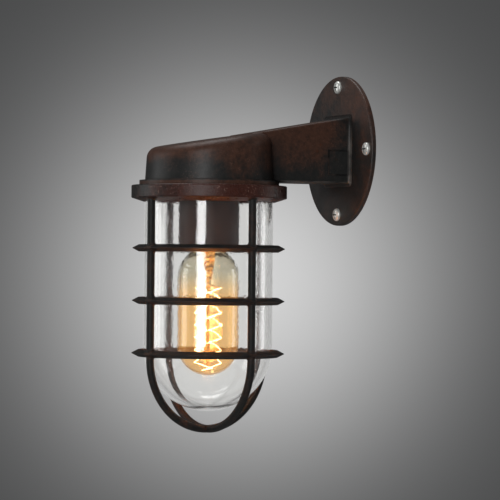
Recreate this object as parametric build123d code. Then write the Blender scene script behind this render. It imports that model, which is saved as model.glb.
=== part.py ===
"""A caged well-glass wall light: wall plate, sloped arm with a round hood, screw-on guard, glass jar and bulb.

The frame is the wall plate's: the origin is the centre of its back face, the wall is the plane Y = 0,
the light reaches towards -Y and +Z is up. All sizes are millimetres.
"""
from build123d import *
import math
import os

# Wall plate
PLATE_RADIUS = 56.0
PLATE_THICKNESS = 3.5
PLATE_EDGE_ROUND = 1.2
CABLE_HOLE_RADIUS = 10.0

# Pan-head screws that hold the plate to the wall
WALL_SCREW_COUNT = 4
WALL_SCREW_EDGE_DISTANCE = 8.25
WALL_SCREW_HEAD_RADIUS = 4.75
WALL_SCREW_HEAD_HEIGHT = 2.9
WALL_SCREW_HEAD_EDGE = 0.9
WALL_SCREW_SHANK_RADIUS = 2.65
WALL_SCREW_THREAD_RADIUS = 2.4
WALL_SCREW_THREAD_LENGTH = 2.5
WALL_SCREW_END_BEVEL = 0.8
SCREW_HOLE_CLEARANCE = 0.25
CROSS_SLOT_WIDTH = 1.1
CROSS_SLOT_DEPTH = 1.5
CROSS_SLOT_SHARE = 0.62

# Countersunk screws that hold the arm to the plate from behind
ARM_SCREW_RADIUS = 2.0
ARM_SCREW_HEAD_RADIUS = 4.0
ARM_SCREW_HEAD_HEIGHT = 2.2
ARM_SCREW_HEAD_SINK = 0.3
ARM_SCREW_GRIP = 9.0
ARM_BOSS_RADIUS = 4.6
ARM_BOSS_INSET = 2.6
ARM_BOSS_TIP = 3.0

# Arm and hood casting
REACH = 108.5
ARM_WIDTH = 42.0
ARM_UNDERSIDE = -24.6
ARM_EDGE_ROUND = 1.6
ARM_FOOT_FLARE = 2.4
ARM_FOOT_RIM = 0.4
ARM_FOOT_HOLLOW = 2.0
ARM_TOP_SLOPE = 10.1
ARM_TOP_SINK = 0.1
ARM_OVERLAP = 22.0
HOOD_HEIGHT = 30.5
HOOD_TOP_SLOPE = 9.1
HOOD_EDGE_ROUND = 8.8
HOOD_DRAFT = 3.5
CASTING_WALL = 3.5
PAD_SIZE = 18.0
PAD_HEIGHT = 0.5
PAD_INSET = 6.0

# Threaded spigot under the hood
SPIGOT_STEP = 4.1
SPIGOT_SHOWING = 3.6
SPIGOT_WALL = 1.7
SPIGOT_END_CLEARANCE = 0.4

# Guard collar, screwed up over the spigot
COLLAR_WALL = 5.5
COLLAR_HEIGHT = 9.2
COLLAR_EDGE_ROUND = 0.9
COLLAR_LIP = 2.6
COLLAR_UNDERSIDE_DROP = 2.8
COLLAR_INNER_RIM = 0.6
THREAD_CLEARANCE = 0.3

# Guard rings and hoops
RING_GAP = 1.4
RING_WIDTH = 7.3
RING_THICKNESS = 5.2
RING_BEVEL = 4.6
RING_TIP_FLAT = 0.5
RING_FIRST_DROP = 36.8
RING_SPACING = 38.45
ROD_RADIUS = 2.8
ROD_GAP = 2.0
ROD_TURN = 13.5
ROD_SOCKET_DEPTH = 1.5
HOOP_BOTTOM = -209.3

# Glass jar and its seals
JAR_RADIUS = 47.2
JAR_WALL = 3.0
JAR_BOTTOM = -193.3
JAR_FLANGE_WIDTH = 2.0
JAR_FLANGE_THICKNESS = 3.0
JAR_FLANGE_CLEARANCE = 0.4
JAR_CLEARANCE = 0.5
SEAT_RING_THICKNESS = 0.8
GASKET_THICKNESS = 1.6
GASKET_WIDTH = 4.2

# Lampholder and the strap that carries it
STRAP_TOP = -15.0
STRAP_THICKNESS = 2.0
STRAP_WIDTH = 15.0
STRAP_END_GAP = 3.0
STRAP_SCREW_RADIUS = 2.0
STRAP_SCREW_INSET = 5.0
STRAP_SCREW_DEPTH = 7.0
STRAP_SCREW_HEAD_RADIUS = 3.6
STRAP_SCREW_HEAD_HEIGHT = 2.2
LUG_LENGTH = 13.0
LUG_HEIGHT = 12.0
NIPPLE_RADIUS = 5.0
NIPPLE_BORE_RADIUS = 4.0
NIPPLE_GRIP = 6.0
NIPPLE_SHOWING = 1.2
LOCKNUT_FLATS = 14.0
LOCKNUT_HEIGHT = 3.5
HOLDER_CAP_HEIGHT = 18.0
HOLDER_CAP_NECK_RADIUS = 8.5
HOLDER_CAP_WALL = 2.2
HOLDER_CAP_SHOULDER = 14.0
HOLDER_SKIRT_RADIUS = 22.15
HOLDER_SKIRT_WALL = 2.1
HOLDER_SKIRT_BOTTOM = -74.0
HOLDER_SKIRT_OVERLAP = 6.5
HOLDER_SHOULDER_WIDTH = 2.6
HOLDER_SHOULDER_HEIGHT = 2.5
HOLDER_INSERT_THICKNESS = 6.0
HOLDER_FIT = 0.15
SHELL_WALL = 0.5
SHELL_LENGTH = 24.0
SHELL_FLANGE_WIDTH = 3.0
SHELL_FLANGE_THICKNESS = 0.6
RIVET_RADIUS = 0.9
RIVET_HEAD_RADIUS = 1.4
RIVET_HEAD_HEIGHT = 0.7
TERMINAL_SIZE = 6.0
TERMINAL_HEIGHT = 5.0
TERMINAL_OFFSET = 10.0
TERMINAL_PUSH_IN = 2.0
TERMINAL_SCREW_RADIUS = 1.5
TERMINAL_SCREW_HEAD_RADIUS = 2.4
TERMINAL_SCREW_HEAD_HEIGHT = 1.4
CONTACT_STRIP_WIDTH = 6.0
CONTACT_STRIP_THICKNESS = 0.6
CONTACT_STRIP_END_GAP = 1.0

# Bulb with a large screw cap
CAP_RADIUS = 13.15
CAP_CLEARANCE = 0.35
CAP_WALL = 0.5
CAP_LENGTH = 22.5
CAP_CRIMP = 2.4
CAP_TOP_RADIUS = 11.0
BULB_CONTACT_TOP = -50.0
BULB_CONTACT_RADIUS = 4.6
BULB_CONTACT_HEIGHT = 1.2
BULB_INSULATOR_HEIGHT = 2.8
CONTACT_CLEARANCE = 0.3
BULB_RADIUS = 22.5
BULB_WALL = 1.0
BULB_NECK_RADIUS = 12.3
BULB_NECK_LENGTH = 9.0
BULB_BOTTOM = -167.4
STEM_RADIUS = 4.6
STEM_PRESS_RADIUS = 2.9
STEM_PRESS_TOP = -86.0
STEM_PRESS_BOTTOM = -97.0
STEM_ROD_RADIUS = 1.2
STEM_ROD_TAIL = 2.0
STEM_FIT = 0.1
STEM_FLARE_EDGE = 1.2
STEM_FLARE_HEIGHT = 9.0
FILAMENT_TOP = -103.0
FILAMENT_TURN_DROP = 18.4
FILAMENT_SIDES = 13
FILAMENT_RADIUS = 10.4
FILAMENT_WIRE_RADIUS = 0.3
FILAMENT_BEND = 1.2
FILAMENT_START_TURN = 45.0
SUPPORT_THICKNESS = 0.5
LEAD_RADIUS = 0.4
LEAD_OFFSET = 2.4
LEAD_KNEE_RISE = 2.0
LEAD_END_GAP = 0.9

# Wiring in the arm
BLOCK_LENGTH = 27.0
BLOCK_DEPTH = 17.0
BLOCK_HEIGHT = 12.0
BLOCK_FROM_PLATE = 27.0
BLOCK_POLES = 3
BLOCK_HOLE_RADIUS = 1.9
BLOCK_SCREW_RADIUS = 1.5
BLOCK_SCREW_SINK = 1.0
BLOCK_FIXING_RADIUS = 1.5
BLOCK_FIXING_HEAD_RADIUS = 2.8
BLOCK_FIXING_HEAD_HEIGHT = 1.6
BLOCK_FIXING_GRIP = 2.5
BLOCK_STEP_HEIGHT = 6.0
BLOCK_TOWER_GAP = 1.3
BLOCK_SLEEVE_INSET = 1.5
WIRE_RADIUS = 1.1
WIRE_PUSH_IN = 5.0
WIRE_SPREAD = 0.6
WIRE_ROOF_GAP = 4.0
WIRE_FIRST_RUN = 8.0
WIRE_LAST_RUN = 12.0
EARTH_SCREW_RADIUS = 2.0
EARTH_SCREW_HEAD_RADIUS = 3.8
EARTH_SCREW_HEAD_HEIGHT = 2.4
EARTH_SCREW_GRIP = 2.5
EARTH_SCREW_FROM_BLOCK = 12.0
EARTH_TAG_RADIUS = 4.2
EARTH_TAG_THICKNESS = 1.0
EARTH_BARREL_GAP = 1.5

# Heights and radii that follow from the sizes above
WALL_SCREW_CIRCLE_RADIUS = PLATE_RADIUS - WALL_SCREW_EDGE_DISTANCE
HOOD_TOP_AT_AXIS = ARM_UNDERSIDE + HOOD_HEIGHT
COLLAR_TOP = ARM_UNDERSIDE - SPIGOT_SHOWING
COLLAR_BOTTOM = COLLAR_TOP - COLLAR_HEIGHT
COLLAR_LOWEST = COLLAR_BOTTOM - COLLAR_UNDERSIDE_DROP
LIP_TOP = COLLAR_BOTTOM + COLLAR_LIP
JAR_FLANGE_BOTTOM = LIP_TOP + SEAT_RING_THICKNESS
JAR_TOP = JAR_FLANGE_BOTTOM + JAR_FLANGE_THICKNESS
SEAL_SEAT = JAR_TOP + GASKET_THICKNESS
SPIGOT_BOTTOM = LIP_TOP + SPIGOT_END_CLEARANCE
JAR_FLANGE_RADIUS = JAR_RADIUS + JAR_FLANGE_WIDTH
SPIGOT_BORE_RADIUS = JAR_FLANGE_RADIUS + JAR_FLANGE_CLEARANCE
SPIGOT_RADIUS = SPIGOT_BORE_RADIUS + SPIGOT_WALL
COLLAR_BORE_RADIUS = SPIGOT_RADIUS + THREAD_CLEARANCE
COLLAR_RADIUS = COLLAR_BORE_RADIUS + COLLAR_WALL
LIP_RADIUS = JAR_RADIUS + JAR_CLEARANCE
HOOD_RADIUS = SPIGOT_RADIUS - SPIGOT_STEP
HOOD_BORE_RADIUS = HOOD_RADIUS - CASTING_WALL
ARM_START = HOOD_RADIUS - REACH - ARM_OVERLAP
ROD_CIRCLE_RADIUS = JAR_RADIUS + ROD_GAP + ROD_RADIUS
RING_INNER_RADIUS = JAR_RADIUS + RING_GAP
RING_TIP_RADIUS = RING_INNER_RADIUS + RING_WIDTH
ROD_TOP = COLLAR_BOTTOM + ROD_SOCKET_DEPTH
HOOP_CENTRE = HOOP_BOTTOM + ROD_RADIUS + ROD_CIRCLE_RADIUS
RING_HEIGHTS = [COLLAR_BOTTOM - RING_FIRST_DROP - index * RING_SPACING for index in range(3)]
STRAP_BOTTOM = STRAP_TOP - STRAP_THICKNESS
STRAP_REACH = HOOD_BORE_RADIUS - STRAP_END_GAP
STRAP_SCREW_X = STRAP_REACH - STRAP_SCREW_INSET
LOCKNUT_TOP = STRAP_TOP + LOCKNUT_HEIGHT
NIPPLE_TOP = LOCKNUT_TOP + NIPPLE_SHOWING
NIPPLE_BOTTOM = STRAP_BOTTOM - NIPPLE_GRIP
HOLDER_SKIRT_BORE = HOLDER_SKIRT_RADIUS - HOLDER_SKIRT_WALL
HOLDER_CAP_RADIUS = HOLDER_SKIRT_BORE - HOLDER_FIT
HOLDER_CAP_RIM = STRAP_BOTTOM - HOLDER_CAP_HEIGHT - HOLDER_SKIRT_OVERLAP
HOLDER_SKIRT_TOP = STRAP_BOTTOM - HOLDER_CAP_HEIGHT
INSERT_TOP = HOLDER_CAP_RIM
INSERT_BOTTOM = INSERT_TOP - HOLDER_INSERT_THICKNESS
INSERT_RADIUS = HOLDER_SKIRT_BORE - HOLDER_FIT
SHELL_BORE = CAP_RADIUS + CAP_CLEARANCE
SHELL_RADIUS = SHELL_BORE + SHELL_WALL
CAP_TOP = BULB_CONTACT_TOP - BULB_CONTACT_HEIGHT - BULB_INSULATOR_HEIGHT
CAP_BOTTOM = CAP_TOP - CAP_LENGTH
BULB_LOWER_CENTRE = BULB_BOTTOM + BULB_RADIUS
NECK_RISE = math.sqrt(BULB_RADIUS ** 2 - (CAP_RADIUS - CAP_WALL) ** 2)
BULB_UPPER_CENTRE = CAP_BOTTOM - CONTACT_CLEARANCE - NECK_RISE
ARM_FLOOR = ARM_UNDERSIDE + CASTING_WALL
BLOCK_BACK = -PLATE_THICKNESS - BLOCK_FROM_PLATE
BLOCK_FRONT = BLOCK_BACK - BLOCK_DEPTH
BLOCK_TOP = ARM_FLOOR + BLOCK_HEIGHT
POLE_PITCH = BLOCK_LENGTH / BLOCK_POLES
POLE_HEIGHT = ARM_FLOOR + BLOCK_STEP_HEIGHT / 2
BLOCK_FIXING_PLACE = (POLE_PITCH / 2, (BLOCK_BACK + BLOCK_FRONT) / 2)
EARTH_SCREW_PLACE = ((BLOCK_POLES - 1) / 2 * POLE_PITCH, BLOCK_FRONT - EARTH_SCREW_FROM_BLOCK)
EARTH_BARREL = (EARTH_SCREW_PLACE[1] + EARTH_TAG_RADIUS, BLOCK_FRONT - EARTH_BARREL_GAP)
TERMINAL_TOP = INSERT_TOP + TERMINAL_HEIGHT
TERMINAL_WIRE_HEIGHT = INSERT_TOP + TERMINAL_HEIGHT / 2
FILAMENT_SIDE_DROP = FILAMENT_TURN_DROP / 4
FILAMENT_LAST_SUPPORT = FILAMENT_TOP - FILAMENT_SIDE_DROP * (FILAMENT_SIDES - 1)
STEM_ROD_BOTTOM = FILAMENT_LAST_SUPPORT - STEM_ROD_TAIL

# Places that pieces are moved to
LAMP_AXIS = Pos(0, -REACH, 0)
FROM_WALL = Rot(90, 0, 0)


def sloped_plane(y, height_at_axis, slope, below):
    """Height at y of a plane that rises towards the wall, or of the plane a wall's thickness below it."""
    tilt = math.radians(slope)
    return height_at_axis + (y + REACH) * math.tan(tilt) - below / math.cos(tilt)


def hood_top(y, below=0.0):
    """Height of the hood's sloped top, or of its roof at a wall's thickness below."""
    return sloped_plane(y, HOOD_TOP_AT_AXIS, HOOD_TOP_SLOPE, below)


def arm_top(y, below=0.0):
    """Height of the arm's sloped top, or of its roof at a wall's thickness below."""
    return sloped_plane(y, HOOD_TOP_AT_AXIS - ARM_TOP_SINK, ARM_TOP_SLOPE, below)


def bar(radius, low, high, x=0.0, y=0.0):
    """An upright round bar between two heights."""
    return Pos(x, y, (low + high) / 2) * Cylinder(radius, high - low)


def tube(outer, inner, low, high):
    """An upright round tube between two heights."""
    return bar(outer, low, high) - bar(inner, low - 1, high + 1)


def block(x_range, y_range, z_range):
    """A rectangular block given by its three ranges."""
    sizes = [high - low for low, high in (x_range, y_range, z_range)]
    middle = [(high + low) / 2 for low, high in (x_range, y_range, z_range)]
    return Pos(*middle) * Box(*sizes)


def turned(*outline):
    """A piece turned about the upright axis from the lines of its half section, given in radius and height."""
    lines = [edge for line in outline for edge in line.edges()]
    return revolve(Plane.XZ * make_face(lines), Axis.Z)


def turned_points(*points):
    """A piece turned about the upright axis from the corners of its half section."""
    return turned(Polyline(*points, close=True))


def wire(points, radius, bend_share=0.45):
    """A round wire through points, straight runs joined by arcs as large as the shorter run allows."""
    places = [Vector(*point) for point in points]
    radii = []
    for before, corner, after in zip(places, places[1:], places[2:]):
        arriving = corner - before
        leaving = after - corner
        half_turn = math.radians(arriving.get_angle(leaving)) / 2
        shorter = min(arriving.length, leaving.length)
        radii.append(bend_share * shorter / math.tan(half_turn))
    path = FilletPolyline(*places, radius=radii)
    section = Plane(origin=path @ 0, z_dir=path % 0) * Circle(radius)
    return sweep(section, path=path)


def cross_slot(head_radius):
    """The cross-shaped driver recess of a screw head, sunk below the height zero."""
    length = 2 * head_radius * CROSS_SLOT_SHARE
    one_way = Pos(0, 0, -CROSS_SLOT_DEPTH / 2) * Box(length, CROSS_SLOT_WIDTH, CROSS_SLOT_DEPTH)
    return one_way + Rot(0, 0, 90) * one_way


def headed_screw(shank, head, head_height, length):
    """A cheese-head screw whose head sits on the height zero and whose shank goes down."""
    return bar(head, 0, head_height) + bar(shank, -length, 0)


def wall_screw_places():
    """Places of the wall screws on their circle, with the back of the plate at height zero."""
    step = 360 / WALL_SCREW_COUNT
    return [Rot(0, 0, index * step) * Pos(WALL_SCREW_CIRCLE_RADIUS, 0, 0) for index in range(WALL_SCREW_COUNT)]


def arm_screw_places():
    """Places of the four arm screws in the corners of the hollow arm, as x and z."""
    inner_half = ARM_WIDTH / 2 - CASTING_WALL
    roof = arm_top(-PLATE_THICKNESS - ARM_SCREW_GRIP, CASTING_WALL)
    x = inner_half - ARM_BOSS_INSET
    return [(side * x, z) for side in (-1, 1) for z in (ARM_FLOOR + ARM_BOSS_INSET, roof - ARM_BOSS_INSET)]


def wall_plate():
    """Round plate with a rounded front edge, the cable hole and the screw holes."""
    disc = bar(PLATE_RADIUS, 0, PLATE_THICKNESS)
    front_edge = disc.edges().group_by(Axis.Z)[-1]
    disc = fillet(front_edge, PLATE_EDGE_ROUND)
    disc -= bar(CABLE_HOLE_RADIUS, -1, PLATE_THICKNESS + 1)
    for place in wall_screw_places():
        disc -= place * bar(WALL_SCREW_SHANK_RADIUS + SCREW_HOLE_CLEARANCE, -1, PLATE_THICKNESS + 1)
    for x, z in arm_screw_places():
        disc -= Pos(x, z, 0) * arm_screw_hole()
    return FROM_WALL * disc


def wall_screws():
    """Pan-head screws with a plain shank in the plate and a thread behind it."""
    head_base = PLATE_THICKNESS
    edge_top = head_base + WALL_SCREW_HEAD_EDGE
    head_top = head_base + WALL_SCREW_HEAD_HEIGHT
    end = -WALL_SCREW_THREAD_LENGTH
    screw = turned(
        Polyline(
            (0, head_top), (0, end), (WALL_SCREW_THREAD_RADIUS - WALL_SCREW_END_BEVEL, end),
            (WALL_SCREW_THREAD_RADIUS, end + WALL_SCREW_END_BEVEL), (WALL_SCREW_THREAD_RADIUS, 0),
            (WALL_SCREW_SHANK_RADIUS, 0), (WALL_SCREW_SHANK_RADIUS, head_base),
            (WALL_SCREW_HEAD_RADIUS, head_base), (WALL_SCREW_HEAD_RADIUS, edge_top)),
        EllipticalCenterArc((0, edge_top), WALL_SCREW_HEAD_RADIUS, head_top - edge_top, arc_size=90))
    screw -= Pos(0, 0, head_top) * cross_slot(WALL_SCREW_HEAD_RADIUS)
    return [FROM_WALL * place * screw for place in wall_screw_places()]


def arm_screw_hole():
    """The countersunk hole of an arm screw, with the back of the plate at height zero."""
    head_end = ARM_SCREW_HEAD_SINK + ARM_SCREW_HEAD_HEIGHT
    cone = Pos(0, 0, (ARM_SCREW_HEAD_SINK + head_end) / 2) * Cone(
        ARM_SCREW_HEAD_RADIUS, ARM_SCREW_RADIUS, ARM_SCREW_HEAD_HEIGHT)
    mouth = bar(ARM_SCREW_HEAD_RADIUS, -1, ARM_SCREW_HEAD_SINK)
    return mouth + cone + bar(ARM_SCREW_RADIUS, 0, PLATE_THICKNESS + 1)


def arm_screws():
    """Countersunk screws through the plate into the bosses of the arm."""
    head_end = ARM_SCREW_HEAD_SINK + ARM_SCREW_HEAD_HEIGHT
    tip = PLATE_THICKNESS + ARM_SCREW_GRIP
    head = Pos(0, 0, (ARM_SCREW_HEAD_SINK + head_end) / 2) * Cone(
        ARM_SCREW_HEAD_RADIUS, ARM_SCREW_RADIUS, ARM_SCREW_HEAD_HEIGHT)
    recess = Pos(0, 0, ARM_SCREW_HEAD_SINK) * Rot(180, 0, 0) * cross_slot(ARM_SCREW_HEAD_RADIUS)
    screw = head + bar(ARM_SCREW_RADIUS, head_end, tip) - recess
    return [FROM_WALL * Pos(x, z, 0) * screw for x, z in arm_screw_places()]


def below_top(top, wall_thickness=0.0):
    """All the space below a sloped top, given by its function, or below a roof of that wall thickness."""
    far = 3 * REACH
    start = -far
    end = REACH
    side = Polyline(
        (start, -far), (end, -far), (end, top(end, wall_thickness)), (start, top(start, wall_thickness)),
        close=True)
    return extrude(Plane.YZ * make_face(side.edges()), far / 2, both=True)


def arm_outside():
    """The arm's solid outside, from the plate to some way inside the hood, with a hollow flare round its foot."""
    root = -PLATE_THICKNESS
    half = ARM_WIDTH / 2
    height = arm_top(root) - ARM_UNDERSIDE
    middle = (arm_top(root) + ARM_UNDERSIDE) / 2
    body = block((-half, half), (ARM_START, root), (ARM_UNDERSIDE, ARM_UNDERSIDE + 2 * height))
    body &= below_top(arm_top)
    along = body.edges().filter_by(lambda edge: abs(edge.tangent_at(0.5).Y) > 0.9)
    body = fillet(along, ARM_EDGE_ROUND)
    foot_outline = RectangleRounded(
        ARM_WIDTH + 2 * ARM_FOOT_FLARE, height + 2 * ARM_FOOT_FLARE, ARM_EDGE_ROUND + ARM_FOOT_FLARE)
    foot_plane = Plane((0, root, middle), x_dir=(1, 0, 0), z_dir=(0, -1, 0))
    body += extrude(foot_plane * foot_outline, ARM_FOOT_RIM)
    rim_edges = body.edges().filter_by_position(Axis.Y, root - ARM_FOOT_RIM, root - ARM_FOOT_RIM)
    inner_edges = rim_edges.filter_by(lambda edge: abs(edge.center().X) < half + ARM_FOOT_FLARE / 2
                                      and abs(edge.center().Z - middle) < (height + ARM_FOOT_FLARE) / 2)
    body = fillet(inner_edges, ARM_FOOT_HOLLOW)
    pad = block((half - PAD_HEIGHT, half + PAD_HEIGHT), (root - PAD_SIZE, root),
                (ARM_UNDERSIDE + PAD_INSET, ARM_UNDERSIDE + PAD_INSET + PAD_SIZE))
    return body + pad


def hollow_inside():
    """The space inside the casting: round under the hood, and a box along the arm to the plate."""
    low = SPIGOT_BOTTOM - 1
    hood = LAMP_AXIS * bar(HOOD_BORE_RADIUS, low, 2 * PLATE_RADIUS) & below_top(hood_top, CASTING_WALL)
    hood = fillet(hood.edges().sort_by(Axis.Z)[-1], max(HOOD_EDGE_ROUND - CASTING_WALL, CASTING_WALL / 2))
    half = ARM_WIDTH / 2 - CASTING_WALL
    arm = block((-half, half), (ARM_START, 1 - PLATE_THICKNESS), (ARM_FLOOR, 2 * PLATE_RADIUS))
    return hood + (arm & below_top(arm_top, CASTING_WALL))


def casting_bosses():
    """Solid places inside the casting: bosses for the arm screws and lugs for the lampholder strap."""
    length = ARM_SCREW_GRIP + ARM_BOSS_TIP
    boss = bar(ARM_BOSS_RADIUS, PLATE_THICKNESS, PLATE_THICKNESS + length)
    bosses = [FROM_WALL * Pos(x, z, 0) * boss for x, z in arm_screw_places()]
    half = STRAP_WIDTH / 2
    lug = block((HOOD_BORE_RADIUS - LUG_LENGTH, HOOD_BORE_RADIUS + CASTING_WALL / 4), (-half, half),
                (STRAP_TOP, STRAP_TOP + LUG_HEIGHT))
    lugs = [LAMP_AXIS * Rot(0, 0, turn) * lug for turn in (0, 180)]
    return bosses + lugs


def casting_holes():
    """Tapped holes in the casting for the arm screws, the strap screws and the screws in the arm's floor."""
    tip = PLATE_THICKNESS + ARM_SCREW_GRIP
    holes = [FROM_WALL * Pos(x, z, 0) * bar(ARM_SCREW_RADIUS, 0, tip) for x, z in arm_screw_places()]
    for side in (-1, 1):
        holes.append(LAMP_AXIS * bar(
            STRAP_SCREW_RADIUS, STRAP_BOTTOM, STRAP_TOP + STRAP_SCREW_DEPTH, x=side * STRAP_SCREW_X))
    holes.append(bar(BLOCK_FIXING_RADIUS, ARM_FLOOR - BLOCK_FIXING_GRIP, ARM_FLOOR, *BLOCK_FIXING_PLACE))
    holes.append(bar(EARTH_SCREW_RADIUS, ARM_FLOOR - EARTH_SCREW_GRIP, ARM_FLOOR, *EARTH_SCREW_PLACE))
    return holes


def hood_outside():
    """The hood's solid outside: a slightly tapered round with a sloped top and a rounded top edge."""
    height = 2 * HOOD_HEIGHT
    top_radius = HOOD_RADIUS - height * math.tan(math.radians(HOOD_DRAFT))
    hood = Pos(0, 0, ARM_UNDERSIDE + height / 2) * Cone(HOOD_RADIUS, top_radius, height)
    hood = LAMP_AXIS * hood & below_top(hood_top)
    return fillet(hood.edges().sort_by(Axis.Z)[-1], HOOD_EDGE_ROUND)


def hood_and_arm():
    """Hollow casting: sloped arm, round hood, threaded spigot, bosses and lugs."""
    casting = hood_outside() + arm_outside() - hollow_inside()
    for solid in casting_bosses():
        casting += solid
    spigot = tube(SPIGOT_RADIUS, HOOD_BORE_RADIUS, SEAL_SEAT, ARM_UNDERSIDE)
    spigot += tube(SPIGOT_RADIUS, SPIGOT_BORE_RADIUS, SPIGOT_BOTTOM, SEAL_SEAT)
    casting += LAMP_AXIS * spigot
    for hole in casting_holes():
        casting -= hole
    return casting


def rod_places():
    """Places of the four guard rods around the lamp axis."""
    return [Rot(0, 0, ROD_TURN + 90 * index) * Pos(ROD_CIRCLE_RADIUS, 0, 0) for index in range(4)]


def guard_collar():
    """Collar that screws up over the spigot: a lip for the glass, a conical underside and sockets for the rods."""
    collar = turned_points(
        (LIP_RADIUS, COLLAR_LOWEST), (LIP_RADIUS + COLLAR_INNER_RIM, COLLAR_LOWEST),
        (COLLAR_RADIUS, COLLAR_BOTTOM), (COLLAR_RADIUS, COLLAR_TOP), (COLLAR_BORE_RADIUS, COLLAR_TOP),
        (COLLAR_BORE_RADIUS, LIP_TOP), (LIP_RADIUS, LIP_TOP))
    rims = collar.edges().filter_by(GeomType.CIRCLE)
    outer_rims = rims.filter_by(lambda edge: edge.radius > COLLAR_RADIUS - COLLAR_EDGE_ROUND)
    collar = fillet(outer_rims, COLLAR_EDGE_ROUND)
    for place in rod_places():
        collar -= place * bar(ROD_RADIUS, COLLAR_LOWEST - 1, ROD_TOP)
    return LAMP_AXIS * collar


def guard_ring(height):
    """Ring with a bevelled, pointed outer edge, drilled for the rods."""
    half = RING_THICKNESS / 2
    shoulder = RING_TIP_RADIUS - RING_BEVEL
    ring = turned_points(
        (RING_INNER_RADIUS, -half), (shoulder, -half), (RING_TIP_RADIUS, -RING_TIP_FLAT / 2),
        (RING_TIP_RADIUS, RING_TIP_FLAT / 2), (shoulder, half), (RING_INNER_RADIUS, half))
    for place in rod_places():
        ring -= place * bar(ROD_RADIUS, -RING_THICKNESS, RING_THICKNESS)
    return LAMP_AXIS * Pos(0, 0, height) * ring


def plain_hoop(turn, seam_turn):
    """One rod bent into a U, open at the top, before it is notched. The seam of its bend can face in or out."""
    legs = [bar(ROD_RADIUS, HOOP_CENTRE, ROD_TOP, x=side * ROD_CIRCLE_RADIUS) for side in (-1, 1)]
    section = Pos(ROD_CIRCLE_RADIUS, 0, 0) * Rot(0, 0, seam_turn) * Circle(ROD_RADIUS)
    bend = revolve(section, Axis.Y, 180)
    hoop = legs[0] + legs[1] + Pos(0, 0, HOOP_CENTRE) * bend
    return Rot(0, 0, ROD_TURN + turn) * hoop


def guard_hoops():
    """The two hoops, halved where they cross at the bottom."""
    under = plain_hoop(turn=0, seam_turn=0)
    over = plain_hoop(turn=90, seam_turn=180)
    middle = HOOP_BOTTOM + ROD_RADIUS
    reach = 4 * ROD_RADIUS
    upper_half = block((-reach, reach), (-reach, reach), (middle, middle + reach))
    lower_half = block((-reach, reach), (-reach, reach), (middle - reach, middle))
    under_halved = under - (over & upper_half)
    over_halved = over - (under & lower_half)
    return LAMP_AXIS * under_halved, LAMP_AXIS * over_halved


def glass_jar():
    """Thick clear jar with a flange at its mouth and a round bottom."""
    centre = JAR_BOTTOM + JAR_RADIUS
    inner = JAR_RADIUS - JAR_WALL
    jar = turned(
        Line((inner, JAR_TOP), (JAR_FLANGE_RADIUS, JAR_TOP)),
        Line((JAR_FLANGE_RADIUS, JAR_TOP), (JAR_FLANGE_RADIUS, JAR_FLANGE_BOTTOM)),
        Line((JAR_FLANGE_RADIUS, JAR_FLANGE_BOTTOM), (JAR_RADIUS, JAR_FLANGE_BOTTOM)),
        Line((JAR_RADIUS, JAR_FLANGE_BOTTOM), (JAR_RADIUS, centre)),
        CenterArc((0, centre), JAR_RADIUS, 0, -90),
        Line((0, JAR_BOTTOM), (0, JAR_BOTTOM + JAR_WALL)),
        CenterArc((0, centre), inner, -90, 90),
        Line((inner, centre), (inner, JAR_TOP)))
    return LAMP_AXIS * jar


def glass_gasket():
    """Soft ring between the mouth of the jar and the casting."""
    return LAMP_AXIS * tube(JAR_FLANGE_RADIUS, JAR_FLANGE_RADIUS - GASKET_WIDTH, JAR_TOP, SEAL_SEAT)


def glass_seat_ring():
    """Thin fibre ring between the flange of the jar and the lip of the collar."""
    return LAMP_AXIS * tube(JAR_FLANGE_RADIUS, LIP_RADIUS, LIP_TOP, JAR_FLANGE_BOTTOM)


def holder_strap():
    """Flat steel strap across the hood, drilled for its two screws and the nipple."""
    half = STRAP_WIDTH / 2
    strap = block((-STRAP_REACH, STRAP_REACH), (-half, half), (STRAP_BOTTOM, STRAP_TOP))
    strap = fillet(strap.edges().filter_by(Axis.Z), half / 2)
    strap -= bar(NIPPLE_RADIUS, STRAP_BOTTOM - 1, STRAP_TOP + 1)
    for side in (-1, 1):
        strap -= bar(STRAP_SCREW_RADIUS, STRAP_BOTTOM - 1, STRAP_TOP + 1, x=side * STRAP_SCREW_X)
    return LAMP_AXIS * strap


def strap_screws():
    """Two screws from below through the strap into the lugs of the hood."""
    length = STRAP_THICKNESS + STRAP_SCREW_DEPTH
    screw = headed_screw(STRAP_SCREW_RADIUS, STRAP_SCREW_HEAD_RADIUS, STRAP_SCREW_HEAD_HEIGHT, length)
    screw -= Pos(0, 0, STRAP_SCREW_HEAD_HEIGHT) * cross_slot(STRAP_SCREW_HEAD_RADIUS)
    upside_down = Pos(0, 0, STRAP_BOTTOM) * Rot(180, 0, 0) * screw
    return [LAMP_AXIS * Pos(side * STRAP_SCREW_X, 0, 0) * upside_down for side in (-1, 1)]


def holder_nipple():
    """Threaded hollow nipple that carries the lampholder and lets the wires through."""
    return LAMP_AXIS * tube(NIPPLE_RADIUS, NIPPLE_BORE_RADIUS, NIPPLE_BOTTOM, NIPPLE_TOP)


def holder_locknut():
    """Hexagon nut on the nipple, above the strap."""
    corner = LOCKNUT_FLATS / math.sqrt(3)
    nut = extrude(Pos(0, 0, STRAP_TOP) * RegularPolygon(corner, 6), LOCKNUT_HEIGHT)
    return LAMP_AXIS * (nut - bar(NIPPLE_RADIUS, STRAP_TOP - 1, LOCKNUT_TOP + 1))


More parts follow.
